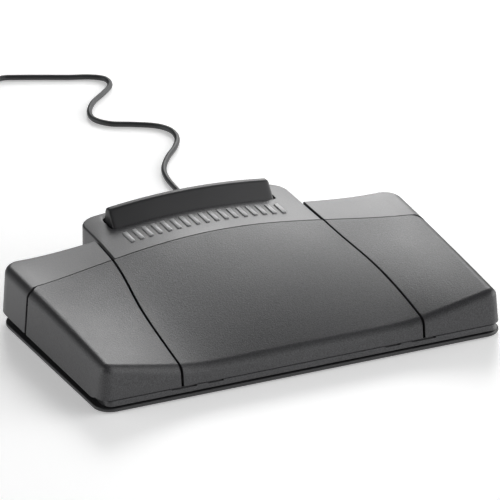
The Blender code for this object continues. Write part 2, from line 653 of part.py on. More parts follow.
tray = curve_prism("base_tray", [base_outline(0.0, 4)], FLOOR_BOTTOM, FLOOR_TOP, BLACK)
wall_inner = BASE_WALL_INSET + BASE_WALL_T
fence = curve_prism("base_wall", [base_outline(BASE_WALL_INSET, 2), base_outline(wall_inner, 2)],
                    FLOOR_TOP - 1 * MM, BASE_WALL_TOP, collection=CUTTERS)
boolean(tray, fence, "UNION")
boolean(tray, box("sill_space", (-(SILL_HALF + 2 * MM), -103 * MM, FLOOR_TOP),
                  (SILL_HALF + 2 * MM, SILL_REAR_Y + GAP, 14 * MM), collection=CUTTERS), "DIFFERENCE")
boolean(tray, rod("cord_hole", (CORD_X, RELIEF_START_Y - 2 * MM, CORD_EXIT_Z), (CORD_X, 96 * MM, CORD_EXIT_Z),
                  3.3 * MM, sides=12, collection=CUTTERS), "DIFFERENCE")
for number, x in enumerate((-96 * MM, -34 * MM, 34 * MM, 96 * MM)):
    boolean(tray, rod(f"board_boss_{number}", (x, BOARD_Y, FLOOR_TOP - 1 * MM), (x, BOARD_Y, BOARD_BOTTOM - GAP),
                      3.0 * MM, sides=8, collection=CUTTERS), "UNION")
spring_places = {"left_spring": (-SPRING_X, SPRING_Y), "right_spring": (SPRING_X, SPRING_Y),
                 "centre_spring_left": (-CENTRE_SPRING_X, CENTRE_SPRING_Y),
                 "centre_spring_right": (CENTRE_SPRING_X, CENTRE_SPRING_Y)}
for name, (x, y) in spring_places.items():
    boolean(tray, rod(name + "_pin", (x, y, FLOOR_TOP - 1 * MM), (x, y, 10 * MM), 2.8 * MM, sides=8,
                      collection=CUTTERS), "UNION")
    helix(name, (x, y), 4.2 * MM, 0.5 * MM, FLOOR_TOP + GAP, POST_BOTTOM - GAP, 5)
for name, x, y in (("left_stop_bumper", -BUMPER_X, BUMPER_Y), ("right_stop_bumper", BUMPER_X, BUMPER_Y),
                   ("centre_stop_bumper", 0.0, CENTRE_SPRING_Y)):
    rod(name, (x, y, FLOOR_TOP + GAP), (x, y, BUMPER_TOP), 5.5 * MM, RUBBER, sides=16, end_radius=4.5 * MM)

plate_low = FLOOR_TOP + GAP
plate_high = plate_low + 3.0 * MM
plate = box("ballast_plate", (-120 * MM, -78 * MM, plate_low), (120 * MM, -8 * MM, plate_high), STEEL)
for number, (x, y) in enumerate([(x, y) for x in (-108 * MM, 108 * MM) for y in (-68 * MM, -18 * MM)], 1):
    boolean(plate, rod(f"ballast_hole_{number}", (x, y, 0), (x, y, 12 * MM), 2.0 * MM, sides=12, collection=CUTTERS),
            "DIFFERENCE")
    boolean(tray, rod(f"tray_hole_{number}", (x, y, FLOOR_BOTTOM + 0.8 * MM), (x, y, 8 * MM), 2.0 * MM, sides=12,
                      collection=CUTTERS), "DIFFERENCE")
    screw(f"ballast_screw_{number}", (x, y, plate_high + 2.0 * MM + GAP), (0, 0, -1), 3.2 * MM, 2.0 * MM,
          1.6 * MM, 4.4 * MM)

inner_half, inner_front = SILL_HALF - SILL_T, SILL_FRONT_Y + SILL_T
sill_right = [(SILL_HALF, SILL_FRONT_Y, SILL_CORNER), (SILL_HALF, SILL_REAR_Y, 0), (inner_half, SILL_REAR_Y, 0),
              (inner_half, inner_front, SILL_CORNER - SILL_T)]
sill = curve_prism("front_sill", [rounded_outline(sill_right + [(-x, y, r) for x, y, r in reversed(sill_right)], 3)],
                   SILL_BOTTOM, SILL_TOP, BLACK)
boolean(sill, box("sill_foot", (-SILL_HALF + 8 * MM, SILL_FRONT_Y + 1 * MM, FLOOR_TOP + GAP),
                  (SILL_HALF - 8 * MM, -88 * MM, 6.0 * MM), collection=CUTTERS), "UNION")
for sign in (-1, 1):
    for number, (start, end) in enumerate(SLITS):
        low_x, high_x = sorted((sign * start, sign * end))
        boolean(sill, box(f"slit_{sign}_{number}", (low_x, SILL_FRONT_Y - 1 * MM, SILL_TOP - SLIT_DEPTH),
                          (high_x, -99 * MM, SILL_TOP + 1 * MM), collection=CUTTERS), "DIFFERENCE")
WEB_Y, WEB_T, WEB_BOTTOM, WEB_TOP = -97.7 * MM, 0.6 * MM, 6.4 * MM, 12.4 * MM
for name, low_x, high_x in (("left_hinge_web", -132 * MM, -92 * MM), ("centre_hinge_web", -82 * MM, 82 * MM),
                            ("right_hinge_web", 92 * MM, 132 * MM)):
    box(name, (low_x, WEB_Y, WEB_BOTTOM), (high_x, WEB_Y + WEB_T, WEB_TOP), BLACK)

FOOT_R = 8.0 * MM
for number, (x, y) in enumerate(((-126, -86), (126, -86), (-130, 42), (130, 42), (-58, 80), (58, 80)), 1):
    rod(f"rubber_foot_{number}", (x * MM, y * MM, 0.0), (x * MM, y * MM, FLOOR_BOTTOM - GAP), FOOT_R - 0.4 * MM,
        RUBBER, sides=20, end_radius=FOOT_R)

# ---- electronics --------------------------------------------------------------------------
board = box("sensor_board", (-BOARD_HALF_X, BOARD_Y - BOARD_HALF_Y, BOARD_BOTTOM),
            (BOARD_HALF_X, BOARD_Y + BOARD_HALF_Y, BOARD_BOTTOM + BOARD_T), BOARD)
board_top = BOARD_BOTTOM + BOARD_T
for number, x in enumerate((-34 * MM, 34 * MM), 1):
    for part, low in ((board, BOARD_BOTTOM - 1 * MM), (tray, FLOOR_TOP + 1 * MM)):
        boolean(part, rod(f"{part.name}_screw_hole_{number}", (x, BOARD_Y, low), (x, BOARD_Y, 12 * MM), 1.5 * MM,
                          sides=12, collection=CUTTERS), "DIFFERENCE")
    screw(f"board_screw_{number}", (x, BOARD_Y, board_top + 1.6 * MM + GAP), (0, 0, -1), 2.4 * MM, 1.6 * MM,
          1.1 * MM, 5.0 * MM)
seat = board_top + GAP
for name, x in (("left_hall_sensor", -MAGNET_X), ("centre_hall_sensor", 0.0), ("right_hall_sensor", MAGNET_X)):
    box(name, (x - 2 * MM, BOARD_Y - 1.5 * MM, seat), (x + 2 * MM, BOARD_Y + 1.5 * MM, seat + 1.2 * MM), CHIP)
box("controller_chip", (14 * MM, BOARD_Y - 4 * MM, seat), (22 * MM, BOARD_Y + 4 * MM, seat + 1.4 * MM), CHIP)
box("cable_header", (50 * MM, BOARD_Y + 1 * MM, seat), (62 * MM, BOARD_Y + 7 * MM, seat + 6 * MM), BLACK,
    bevel=0.5 * MM)

# ---- cord ---------------------------------------------------------------------------------
rod("strain_relief", (CORD_X, RELIEF_START_Y, CORD_EXIT_Z), (CORD_X, RELIEF_END_Y, CORD_EXIT_Z), 3.0 * MM,
             BLACK, sides=16, end_radius=2.5 * MM)
ROUTE = [(40.0, 113.4, 7.0), (40.1, 124.0, 4.4), (40.4, 136.0, 2.5), (41.0, 160.0, 2.2), (41.8, 182.0, 2.2),
         (42.6, 202.3, 2.2), (44.4, 222.0, 2.2), (49.4, 238.6, 2.2), (59.4, 254.6, 2.2), (71.8, 269.6, 2.2),
         (79.6, 283.8, 2.2), (81.0, 298.2, 2.2), (74.6, 309.8, 2.2), (60.4, 319.2, 2.2), (46.2, 327.0, 2.2),
         (38.8, 339.0, 2.2), (41.2, 353.4, 2.2), (51.0, 368.6, 2.2), (64.4, 381.0, 2.2), (74.2, 392.4, 2.2),
         (75.4, 404.6, 2.2), (66.6, 412.6, 2.2), (52.0, 418.4, 2.2), (34.0, 426.8, 2.2), (14.0, 435.6, 2.2),
         (6.0, 439.4, 2.2)]


def smooth_route(points, spacing):
    """Points at an even spacing along the Catmull-Rom curve through a cord's route."""
    places = [Vector(p) * MM for p in points]
    places = [2 * places[0] - places[1]] + places + [2 * places[-1] - places[-2]]
    fine = []
    for a, b, c, d in zip(places, places[1:], places[2:], places[3:]):
        for step in range(12):
            t = step / 12
            fine.append(0.5 * (2 * b + (c - a) * t + (2 * a - 5 * b + 4 * c - d) * t ** 2
                               + (3 * b - a - 3 * c + d) * t ** 3))
    fine.append(places[-2])
    length = sum((q - p).length for p, q in zip(fine, fine[1:]))
    count = max(2, round(length / spacing))
    kept, run, target = [fine[0]], 0.0, length / count
    for p, q in zip(fine, fine[1:]):
        run += (q - p).length
        if run >= target * len(kept) and len(kept) < count:
            kept.append(q)
    return kept + [fine[-1]]


tube("cable_run", smooth_route(ROUTE, 9.0 * MM), CORD_R, CABLE)


def ring(name, centre, inner, outer, bottom, top, chamfer, mat, steps=24):
    """A turned ring: a closed profile with a Screw modifier, made into a mesh."""
    profile = [(inner, top - chamfer), (inner, bottom + chamfer), (inner + chamfer, bottom),
               (outer - chamfer, bottom), (outer, bottom + chamfer), (outer, top - chamfer),
               (outer - chamfer, top), (inner + chamfer, top)]
    edges = [(k, (k + 1) % len(profile)) for k in range(len(profile))]
    mesh = bpy.data.meshes.new(name)
    mesh.from_pydata([(r, 0.0, z) for r, z in profile], edges, [])
    made = add_mesh(name, mesh, mat)
    made.location = (centre[0], centre[1], 0.0)
    turned = made.modifiers.new("turn", "SCREW")
    turned.steps = turned.render_steps = steps
    turned.use_merge_vertices = True
    turned.merge_threshold = 1e-5
    turned.use_normal_flip = True
    return made


ring("cable_coil", COIL_CENTRE, COIL_MID_R - COIL_HALF_WIDTH, COIL_MID_R + COIL_HALF_WIDTH, 0.2 * MM, COIL_TOP,
     2.5 * MM, CABLE)
TIE_T, TIE_WIDTH, TIE_BOTTOM = 1.2 * MM, 4.0 * MM, 8.0 * MM
tie_x, tie_y = COIL_CENTRE[0] - COIL_MID_R, COIL_CENTRE[1]
tie_in, tie_top = COIL_HALF_WIDTH + GAP, COIL_TOP + GAP
tie = box("cable_tie", (tie_x - tie_in - TIE_T, tie_y - TIE_WIDTH / 2, TIE_BOTTOM),
          (tie_x + tie_in + TIE_T, tie_y + TIE_WIDTH / 2, tie_top + TIE_T), BLACK)
boolean(tie, box("tie_inside", (tie_x - tie_in - 0.3 * MM, tie_y - TIE_WIDTH, TIE_BOTTOM - 3 * MM),
                 (tie_x + tie_in, tie_y + TIE_WIDTH, tie_top), collection=CUTTERS), "DIFFERENCE")
PLUG_X, PLUG_Y = COIL_CENTRE[0] + 2 * MM, COIL_CENTRE[1] + COIL_MID_R + COIL_HALF_WIDTH + 8.5 * MM
box("plug_body", (PLUG_X - 19 * MM, PLUG_Y - 7.5 * MM, 0.3 * MM),
    (PLUG_X + 14 * MM, PLUG_Y + 7.5 * MM, 8.3 * MM), BLACK, bevel=1.2 * MM)
box("plug_shell", (PLUG_X + 14.3 * MM, PLUG_Y - 6 * MM, 2.05 * MM),
    (PLUG_X + 26.3 * MM, PLUG_Y + 6 * MM, 6.55 * MM), STEEL)
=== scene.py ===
"""Looks of the foot control: three grained pedals, a satin top bar, a rimmed base and a coiled lead."""

import json
import math

import bmesh
import bpy
from mathutils import Matrix, Vector


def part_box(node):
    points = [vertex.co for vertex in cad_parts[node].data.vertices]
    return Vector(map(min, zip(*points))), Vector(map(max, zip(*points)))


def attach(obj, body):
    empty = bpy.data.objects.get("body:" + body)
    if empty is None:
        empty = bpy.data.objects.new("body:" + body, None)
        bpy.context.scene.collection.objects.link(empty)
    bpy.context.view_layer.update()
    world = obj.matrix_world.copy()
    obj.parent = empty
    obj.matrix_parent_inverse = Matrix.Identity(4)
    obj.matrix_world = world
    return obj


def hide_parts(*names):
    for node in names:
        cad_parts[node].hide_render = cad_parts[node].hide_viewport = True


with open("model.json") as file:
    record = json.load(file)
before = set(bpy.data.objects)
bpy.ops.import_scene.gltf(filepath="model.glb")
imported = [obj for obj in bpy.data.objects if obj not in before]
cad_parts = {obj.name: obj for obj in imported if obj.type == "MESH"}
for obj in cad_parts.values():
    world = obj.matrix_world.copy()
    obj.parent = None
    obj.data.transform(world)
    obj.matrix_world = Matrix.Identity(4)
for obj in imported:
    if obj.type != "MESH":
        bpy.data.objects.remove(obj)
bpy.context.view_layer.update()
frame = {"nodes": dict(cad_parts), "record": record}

MM = 0.001

# ---- sizes shared with the CAD model ------------------------------------------------------
FRONT_Y = -100.2 * MM
HINGE_Z = 9.3 * MM
WING_REAR_Y, CENTRE_REAR_Y = 67.5 * MM, 101.6 * MM
SKIRT_HALF, SKIRT_FLARE, SKIRT_BOTTOM = 147.5 * MM, 0.027, 6.7 * MM
RIM_HALF, RIM_FLARE = 149.2 * MM, 0.034
WALL = 2.2 * MM
SIDE_DRAFT, FRONT_DRAFT = 2.0 * MM, 0.8 * MM
SEAM_GAP, CAP_GAP = 1.5 * MM, 0.6 * MM
FLOOR_BOTTOM, FLOOR_TOP = 1.2 * MM, 3.8 * MM
BASE_FRONT_Y, BASE_WING_Y, BASE_REAR_Y = -102.1 * MM, 60.0 * MM, 94.5 * MM
BASE_NECK_HALF = 77.5 * MM
BASE_WALL_INSET, BASE_WALL_T, BASE_WALL_TOP = 5.4 * MM, 2.0 * MM, 12.0 * MM
SILL_HALF, SILL_CORNER = 140.8 * MM, 4.5 * MM
SILL_FRONT_Y, SILL_REAR_Y, SILL_T = -101.7 * MM, -94.5 * MM, 2.2 * MM
SILL_BOTTOM, SILL_TOP = 5.0 * MM, 9.15 * MM
SLITS = ((58.5 * MM, 69.5 * MM), (77.5 * MM, 95.5 * MM))
BAR_HALF = 59.5 * MM
BAR_FRONT_Y, BAR_REAR_Y = 74.9 * MM, 91.6 * MM
BAR_RIDGE_Y, BAR_RIDGE_Z, BAR_ARCH = 86.3 * MM, 57.2 * MM, 4.0 * MM
BAR_BOTTOM = 38.5 * MM
SLOT_HALF, SLOT_FRONT_Y, SLOT_REAR_Y, SLOT_CORNER = 61.0 * MM, 74.0 * MM, 93.2 * MM, 3.2 * MM
CORD_R, CORD_X, CORD_EXIT_Z = 2.0 * MM, 40.0 * MM, 7.2 * MM
RELIEF_START_Y, RELIEF_END_Y = 84.0 * MM, 113.0 * MM
CORD_LENGTH = 2.4
COIL_CENTRE = Vector((-26.0 * MM, 453.0 * MM))

# ---- camera -------------------------------------------------------------------------------
AZIMUTH, ELEVATION = math.radians(-24.65), math.radians(24.73)
CAMERA_AT = Vector((-1.4134, -3.0952, 1.6150))
back = Vector((math.sin(AZIMUTH) * math.cos(ELEVATION), -math.cos(AZIMUTH) * math.cos(ELEVATION),
               math.sin(ELEVATION)))
right = Vector((math.cos(AZIMUTH), math.sin(AZIMUTH), 0.0))
up = back.cross(right)
camera_data = bpy.data.cameras.new("camera")
camera_data.lens, camera_data.sensor_width = 405.07, 36.0
camera_data.clip_end = 100.0
camera = bpy.data.objects.new("camera", camera_data)
bpy.context.scene.collection.objects.link(camera)
camera.matrix_world = Matrix.Translation(CAMERA_AT) @ Matrix((right, up, back)).transposed().to_4x4()
bpy.context.scene.camera = camera
bpy.context.scene.view_settings.view_transform = "Standard"


# ---- stage --------------------------------------------------------------------------------
def node(tree, kind, **inputs):
    """A shader node with the given values on its own sockets."""
    made = tree.nodes.new(kind)
    for name, value in inputs.items():
        made.inputs[name.replace("_", " ")].default_value = value
    return made


def ramp(tree, source, stops):
    """A colour ramp of greys: stops are (position, grey)."""
    made = tree.nodes.new("ShaderNodeValToRGB")
    elements = made.color_ramp.elements
    while len(elements) < len(stops):
        elements.new(0.5)
    for element, (position, grey) in zip(elements, stops):
        element.position = position
        element.color = (grey, grey, grey, 1.0)
    tree.links.new(source, made.inputs["Fac"])
    return made.outputs["Color"]


# soft lamps of the sky: azimuth from the rear towards the right, elevation, focus, strength
LAMPS = [(25, 29, 70, 4.8), (25, 10, 24, 0.5), (105, 14, 8, 4.8), (-70, 14, 8, 1.9), (155, 14, 8, 1.0)]
FLOOR_GLOW = 0.35


def make_world():
    """A plain soft studio: a black sky with a few broad lamps, each a smooth spot of it."""
    world = bpy.data.worlds.new("studio")
    bpy.context.scene.world = world
    world.use_nodes = True
    tree = world.node_tree
    background = tree.nodes["Background"]
    background.inputs["Color"].default_value = (1.0, 1.0, 1.0, 1.0)
    look = tree.nodes.new("ShaderNodeTexCoord").outputs["Generated"]
    total = node(tree, "ShaderNodeValue").outputs[0]
    total.default_value = 0.0
    for azimuth, elevation, focus, strength in LAMPS:
        turn, lift = math.radians(azimuth), math.radians(elevation)
        facing = tree.nodes.new("ShaderNodeVectorMath")
        facing.operation = "DOT_PRODUCT"
        tree.links.new(look, facing.inputs[0])
        facing.inputs[1].default_value = (math.sin(turn) * math.cos(lift), math.cos(turn) * math.cos(lift),
                                          math.sin(lift))
        value = facing.outputs["Value"]
        for operation, second in (("MAXIMUM", 0.0), ("POWER", focus), ("MULTIPLY", strength)):
            step = tree.nodes.new("ShaderNodeMath")
            step.operation = operation
            tree.links.new(value, step.inputs[0])
            step.inputs[1].default_value = second
            value = step.outputs[0]
        add = tree.nodes.new("ShaderNodeMath")
        add.operation = "ADD"
        tree.links.new(total, add.inputs[0])
        tree.links.new(value, add.inputs[1])
        total = add.outputs[0]
    tree.links.new(total, background.inputs["Strength"])


def make_floor():
    """A wide pale floor that the object stands on, with a faint glow that keeps it white."""
    work = bmesh.new()
    bmesh.ops.create_grid(work, x_segments=1, y_segments=1, size=12.0)
    mesh = bpy.data.meshes.new("floor")
    work.to_mesh(mesh)
    work.free()
    floor = bpy.data.objects.new("floor", mesh)
    bpy.context.scene.collection.objects.link(floor)
    mat = bpy.data.materials.new("floor")
    mat.use_nodes = True
    shader = mat.node_tree.nodes["Principled BSDF"]
    shader.inputs["Base Color"].default_value = (0.92, 0.92, 0.92, 1.0)
    shader.inputs["Roughness"].default_value = 0.35
    shader.inputs["Specular IOR Level"].default_value = 0.3
    shader.inputs["Emission Color"].default_value = (1.0, 1.0, 1.0, 1.0)
    shader.inputs["Emission Strength"].default_value = FLOOR_GLOW
    mesh.materials.append(mat)


# near softboxes, whose light falls off across the object: azimuth, elevation, distance, size, watts
SOFTBOXES = [(27, 33, 0.8, 0.3, 0.7), (35, 12, 0.7, 0.25, 0.35)]
SOFTBOX_AIM = Vector((50.0 * MM, 50.0 * MM, 50.0 * MM))


def make_softboxes():
    """Square lamps near the object, aimed at its right rear."""
    for number, (azimuth, elevation, distance, size, watts) in enumerate(SOFTBOXES):
        turn, lift = math.radians(azimuth), math.radians(elevation)
        away = Vector((math.sin(turn) * math.cos(lift), math.cos(turn) * math.cos(lift), math.sin(lift)))
        lamp = bpy.data.lights.new(f"softbox_{number}", "AREA")
        lamp.shape, lamp.size, lamp.energy = "SQUARE", size, watts
        made = bpy.data.objects.new(f"softbox_{number}", lamp)
        bpy.context.scene.collection.objects.link(made)
        turned = away.to_track_quat("Z", "Y").to_matrix().to_4x4()
        made.matrix_world = Matrix.Translation(SOFTBOX_AIM + away * distance) @ turned


make_world()
make_floor()
make_softboxes()


# ---- materials ----------------------------------------------------------------------------
def moulded(name, colour, roughness, grain_size, grain_depth, mottle=0.06, fleck=0.0, specular=0.5):
    """Moulded plastic: an eroded grain, faint flow marks in the colour and a changing sheen."""
    mat = bpy.data.materials.new(name)
    mat.use_nodes = True
    tree = mat.node_tree
    shader = tree.nodes["Principled BSDF"]
    shader.inputs["Specular IOR Level"].default_value = specular
    place = tree.nodes.new("ShaderNodeTexCoord").outputs["Object"]

    grain = node(tree, "ShaderNodeTexNoise", Scale=1.0 / grain_size, Detail=3.0, Roughness=0.6)
    tree.links.new(place, grain.inputs["Vector"])
    pits = node(tree, "ShaderNodeTexVoronoi", Scale=0.7 / grain_size)
    tree.links.new(place, pits.inputs["Vector"])
    relief = node(tree, "ShaderNodeMath")
    relief.operation = "ADD"
    tree.links.new(grain.outputs["Fac"], relief.inputs[0])
    tree.links.new(pits.outputs["Distance"], relief.inputs[1])
    bump = node(tree, "ShaderNodeBump", Strength=0.6, Distance=grain_depth)
    tree.links.new(relief.outputs[0], bump.inputs["Height"])
    tree.links.new(bump.outputs["Normal"], shader.inputs["Normal"])

    flow = node(tree, "ShaderNodeTexNoise", Scale=22.0, Detail=4.0, Roughness=0.55)
    tree.links.new(place, flow.inputs["Vector"])
    tone = tree.nodes.new("ShaderNodeValToRGB")
    dark = [c * (1.0 - mottle) for c in colour]
    light = [c * (1.0 + mottle) for c in colour]
    tone.color_ramp.elements[0].position, tone.color_ramp.elements[1].position = 0.3, 0.7
    tone.color_ramp.elements[0].color = (*dark, 1.0)
    tone.color_ramp.elements[1].color = (*light, 1.0)
    tree.links.new(flow.outputs["Fac"], tone.inputs["Fac"])
    colour_out = tone.outputs["Color"]
    if fleck:
        speck = ramp(tree, grain.outputs["Fac"], [(0.35, 1.0 - fleck), (0.65, 1.0 + fleck)])
        mix = tree.nodes.new("ShaderNodeMix")
        mix.data_type, mix.blend_type = "RGBA", "MULTIPLY"
        mix.inputs["Factor"].default_value = 1.0
        tree.links.new(colour_out, mix.inputs["A"])
        tree.links.new(speck, mix.inputs["B"])
        colour_out = mix.outputs["Result"]
    tree.links.new(colour_out, shader.inputs["Base Color"])
    sheen = node(tree, "ShaderNodeMapRange", From_Min=0.3, From_Max=0.7, To_Min=roughness - 0.03,
                 To_Max=roughness + 0.03)
    tree.links.new(flow.outputs["Fac"], sheen.inputs["Value"])
    tree.links.new(sheen.outputs["Result"], shader.inputs["Roughness"])
    return mat


def metal(name, colour, roughness, stretch):
    """Plated or drawn metal, with fine scratches along X."""
    mat = bpy.data.materials.new(name)
    mat.use_nodes = True
    tree = mat.node_tree
    shader = tree.nodes["Principled BSDF"]
    shader.inputs["Metallic"].default_value = 1.0
    place = tree.nodes.new("ShaderNodeTexCoord").outputs["Object"]
    turn = node(tree, "ShaderNodeMapping", Scale=(200.0, 200.0 * stretch, 200.0 * stretch))
    tree.links.new(place, turn.inputs["Vector"])
    marks = node(tree, "ShaderNodeTexNoise", Scale=4.0, Detail=3.0)
    tree.links.new(turn.outputs["Vector"], marks.inputs["Vector"])
    tone = tree.nodes.new("ShaderNodeValToRGB")
    tone.color_ramp.elements[0].color = (*[c * 0.9 for c in colour], 1.0)
    tone.color_ramp.elements[1].color = (*colour, 1.0)
    tree.links.new(marks.outputs["Fac"], tone.inputs["Fac"])
    tree.links.new(tone.outputs["Color"], shader.inputs["Base Color"])
    gloss = node(tree, "ShaderNodeMapRange", From_Min=0.3, From_Max=0.7, To_Min=roughness - 0.06,
                 To_Max=roughness + 0.08)
    tree.links.new(marks.outputs["Fac"], gloss.inputs["Value"])
    tree.links.new(gloss.outputs["Result"], shader.inputs["Roughness"])
    return mat


LOOKS = {
    "grained_plastic": moulded("grained_plastic", (0.05, 0.05, 0.053), 0.37, 0.7 * MM, 0.11 * MM, fleck=0.45),
    "satin_plastic": moulded("satin_plastic", (0.062, 0.062, 0.065), 0.33, 0.6 * MM, 0.04 * MM, fleck=0.2),
    "black_plastic": moulded("black_plastic", (0.031, 0.031, 0.033), 0.4, 0.4 * MM, 0.015 * MM),
    "black_rubber": moulded("black_rubber", (0.014, 0.014, 0.014), 0.75, 0.5 * MM, 0.04 * MM),
    "zinc_steel": metal("zinc_steel", (0.62, 0.62, 0.64), 0.34, 1.0),
    "plug_metal": metal("plug_metal", (0.7, 0.7, 0.71), 0.28, 6.0),
    "spring_steel": metal("spring_steel", (0.52, 0.52, 0.54), 0.28, 1.0),
    "magnet": metal("magnet", (0.6, 0.6, 0.62), 0.2, 1.0),
    "circuit_board": moulded("circuit_board", (0.012, 0.11, 0.045), 0.35, 0.8 * MM, 0.02 * MM),
    "chip_epoxy": moulded("chip_epoxy", (0.012, 0.012, 0.012), 0.45, 0.2 * MM, 0.01 * MM),
    "cable_jacket": moulded("cable_jacket", (0.035, 0.036, 0.038), 0.42, 0.4 * MM, 0.01 * MM),
}
# The ribs are of the cap's satin plastic. This much lighter copy of it is a painted highlight, standing in
# for the light that their raised faces catch.
PAINTED_RIB_HIGHLIGHT = moulded("painted_rib_highlight", (0.4, 0.4, 0.405), 0.3, 0.35 * MM, 0.01 * MM)

SLOT_OF = {part["node"]: part["material_slot"] for part in frame["record"]["subparts"]}
for name, carried in frame["nodes"].items():
    carried.data.materials.clear()
    carried.data.materials.append(LOOKS[SLOT_OF[name]])


# ---- helpers for pieces -------------------------------------------------------------------
def finish_piece(name, work, look, body, *nodes, angle=40, slot=None):
    """Turn a bmesh into a shaded piece that rides on a body and stands for CAD nodes."""
    bmesh.ops.recalc_face_normals(work, faces=work.faces)
    mesh = bpy.data.meshes.new(name)
    work.to_mesh(mesh)
    work.free()
    mesh.materials.append(LOOKS[look] if isinstance(look, str) else look)
    made = bpy.data.objects.new(name, mesh)
    bpy.context.scene.collection.objects.link(made)
    mesh.shade_smooth()
    mesh.set_sharp_from_angle(angle=math.radians(angle))
    if body:
        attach(made, body)
    if nodes:
        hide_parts(*nodes)
    return made


def cut(target, other, operation="DIFFERENCE"):
    """Apply an exact Boolean and remove the cutter."""
    step = target.modifiers.new("cut", "BOOLEAN")
    step.operation, step.solver, step.object = operation, "EXACT", other
    bpy.context.view_layer.update()
    graph = bpy.context.evaluated_depsgraph_get()
    mesh = bpy.data.meshes.new_from_object(target.evaluated_get(graph))
    old = target.data
    target.modifiers.clear()
    target.data = mesh
    bpy.data.meshes.remove(old)
    bpy.data.objects.remove(other, do_unlink=True)


def loft_rings(work, rings, close_first=True, close_last=True):
    """Faces between rings of equal length, with the ends closed if asked."""
    loops = [[work.verts.new(point) for point in ring] for ring in rings]
    for one, other in zip(loops, loops[1:]):
        for k in range(len(one)):
            after = (k + 1) % len(one)
            work.faces.new((one[k], one[after], other[after], other[k]))
    if close_first:
        work.faces.new(loops[0])
    if close_last:
        work.faces.new(loops[-1])
    return loops


def box_mesh(low, high, bevel=0.0, segments=3):
    """A bmesh box between two corners, with rounded edges if asked."""
    work = bmesh.new()
    bmesh.ops.create_cube(work, size=1.0)
    for vert in work.verts:
        vert.co = Vector([lo + (c + 0.5) * (hi - lo) for c, lo, hi in zip(vert.co, low, high)])
    if bevel:
        bmesh.ops.bevel(work, geom=list(work.edges), offset=bevel, segments=segments, profile=0.5,
                        affect="EDGES")
    return work


def rounded_outline(corners, steps):
    """Points of a closed outline: corners are (x, y, radius), in order round it."""
    points = []
    for index, (x, y, radius) in enumerate(corners):
        here = Vector((x, y))
        before = (Vector(corners[index - 1][:2]) - here).normalized()
        ahead = (Vector(corners[(index + 1) % len(corners)][:2]) - here).normalized()
        half = before.angle(ahead) / 2
        reach = radius / math.tan(half)
        centre = here + (before + ahead).normalized() * (radius / math.sin(half))
        first, last = here + before * reach - centre, here + ahead * reach - centre
        swing = first.angle_signed(last)
        for step in range(steps + 1):
            turn = Matrix.Rotation(-swing * step / steps, 2)
            points.append(centre + turn @ first)
    return points


# ---- the shape of the top, as in the CAD model --------------------------------------------
GAP_REAR_X, GAP_SPREAD, GAP_TURN_Y, GAP_TURN_LENGTH = 76.4 * MM, 5.45 * MM, -4.0 * MM, 38.0 * MM
BOW_WIDTH = 100.0 * MM                                   # the half width that the two bows are given in
SEAM_BOW = (38.6 * MM, -5.5 * MM, -1.2 * MM)             # the cross seam's y
CREST_BOW = (46.4 * MM, -10.9 * MM, 3.36 * MM)           # the top's height along it
FRONT_LOW, WING_RISE, RISE_START, RISE_BLEND = 19.3 * MM, 0.225, 77.0 * MM, 8.0 * MM
TOP_SWELL = 0.43                                         # how far the treads arch above a straight slope
CAP_CLIMB, CAP_BEND = 0.03, 0.3                          # slope and bend, per metre, of the caps to the rear
SKIRT_RISE, SKIRT_RISE_Y, SKIRT_RISE_LENGTH = 0.004, -84.0 * MM, 10.0 * MM
GAP_SKIRT_LOW, GAP_SKIRT_RISE, GAP_SKIRT_Y = 11.4 * MM, 0.025, -100.0 * MM
BULKHEAD_DEPTH = 12.0 * MM
BEND_SHIFT, BEND_X, BEND_WIDTH, BEND_REACH = -5.5 * MM, 137.0 * MM, 7.0 * MM, 40.0 * MM


def seam_x(y):
    """Half width of the centre pedal along its side gaps."""
    return GAP_REAR_X + GAP_SPREAD * (1 - math.tanh((y - GAP_TURN_Y) / GAP_TURN_LENGTH))


def bowed(bow, x):
    """A curve that is even about the middle."""
    q = (x / BOW_WIDTH) ** 2
    return bow[0] + bow[1] * q + bow[2] * q * q


def seam_y(x):
    """The bowed line between the treads and the rear caps."""
    return bowed(SEAM_BOW, x)


def seam_height(x):
    """Height of the top along that line."""
    return bowed(CREST_BOW, x)


def front_height(x):
    """Height of the front edge: level on the centre pedal and rising along the wings."""
    rise = (abs(x) - RISE_START) / RISE_BLEND
    return FRONT_LOW + WING_RISE * RISE_BLEND * math.log1p(math.exp(rise))


def top_height(x, y):
    """Height of the top surface, before its edges are rounded."""
    line = seam_y(x)
    if y > line:
        run = y - line
        return seam_height(x) + CAP_CLIMB * run - CAP_BEND * run * run
    u = (y - FRONT_Y) / (line - FRONT_Y)
    low = front_height(x)
    return low + (seam_height(x) - low) * (u + TOP_SWELL * u * (1 - u))


def smooth(share):
    """An even blend from 0 to 1 with level ends."""
    share = min(1.0, max(0.0, share))
    return share * share * (3 - 2 * share)


def skirt_bottom(x, y):
    """Lower edge of the outer skirts: nearly level, and raised to the hinge at the front corners."""
    low = SKIRT_BOTTOM + SKIRT_RISE * (y - SKIRT_RISE_Y)
    return low + (HINGE_Z + 0.2 * MM - low) * smooth((SKIRT_RISE_Y - y) / SKIRT_RISE_LENGTH)


def seam_skirt_bottom(x, y):
    """Lower edge of the inner skirts, along the gaps between the pedals."""
    return GAP_SKIRT_LOW + GAP_SKIRT_RISE * (y - GAP_SKIRT_Y)


def bulkhead_bottom(x, y):
    """Lower edge of the short walls under the cross seam."""
    return top_height(x, y) - BULKHEAD_DEPTH


def front_bottom(x, y):
    """Lower edge of the front faces, just above the hinge line."""
    return HINGE_Z + 0.1 * MM


def seam_bend(x, y):
    """Shift along Y that turns the cross seam forward where it goes over the side's fold."""
    near_seam = smooth(1.0 - abs(y - seam_y(BEND_X + 1 * MM)) / BEND_REACH)
    return BEND_SHIFT * near_seam * smooth((abs(x) - BEND_X) / BEND_WIDTH)


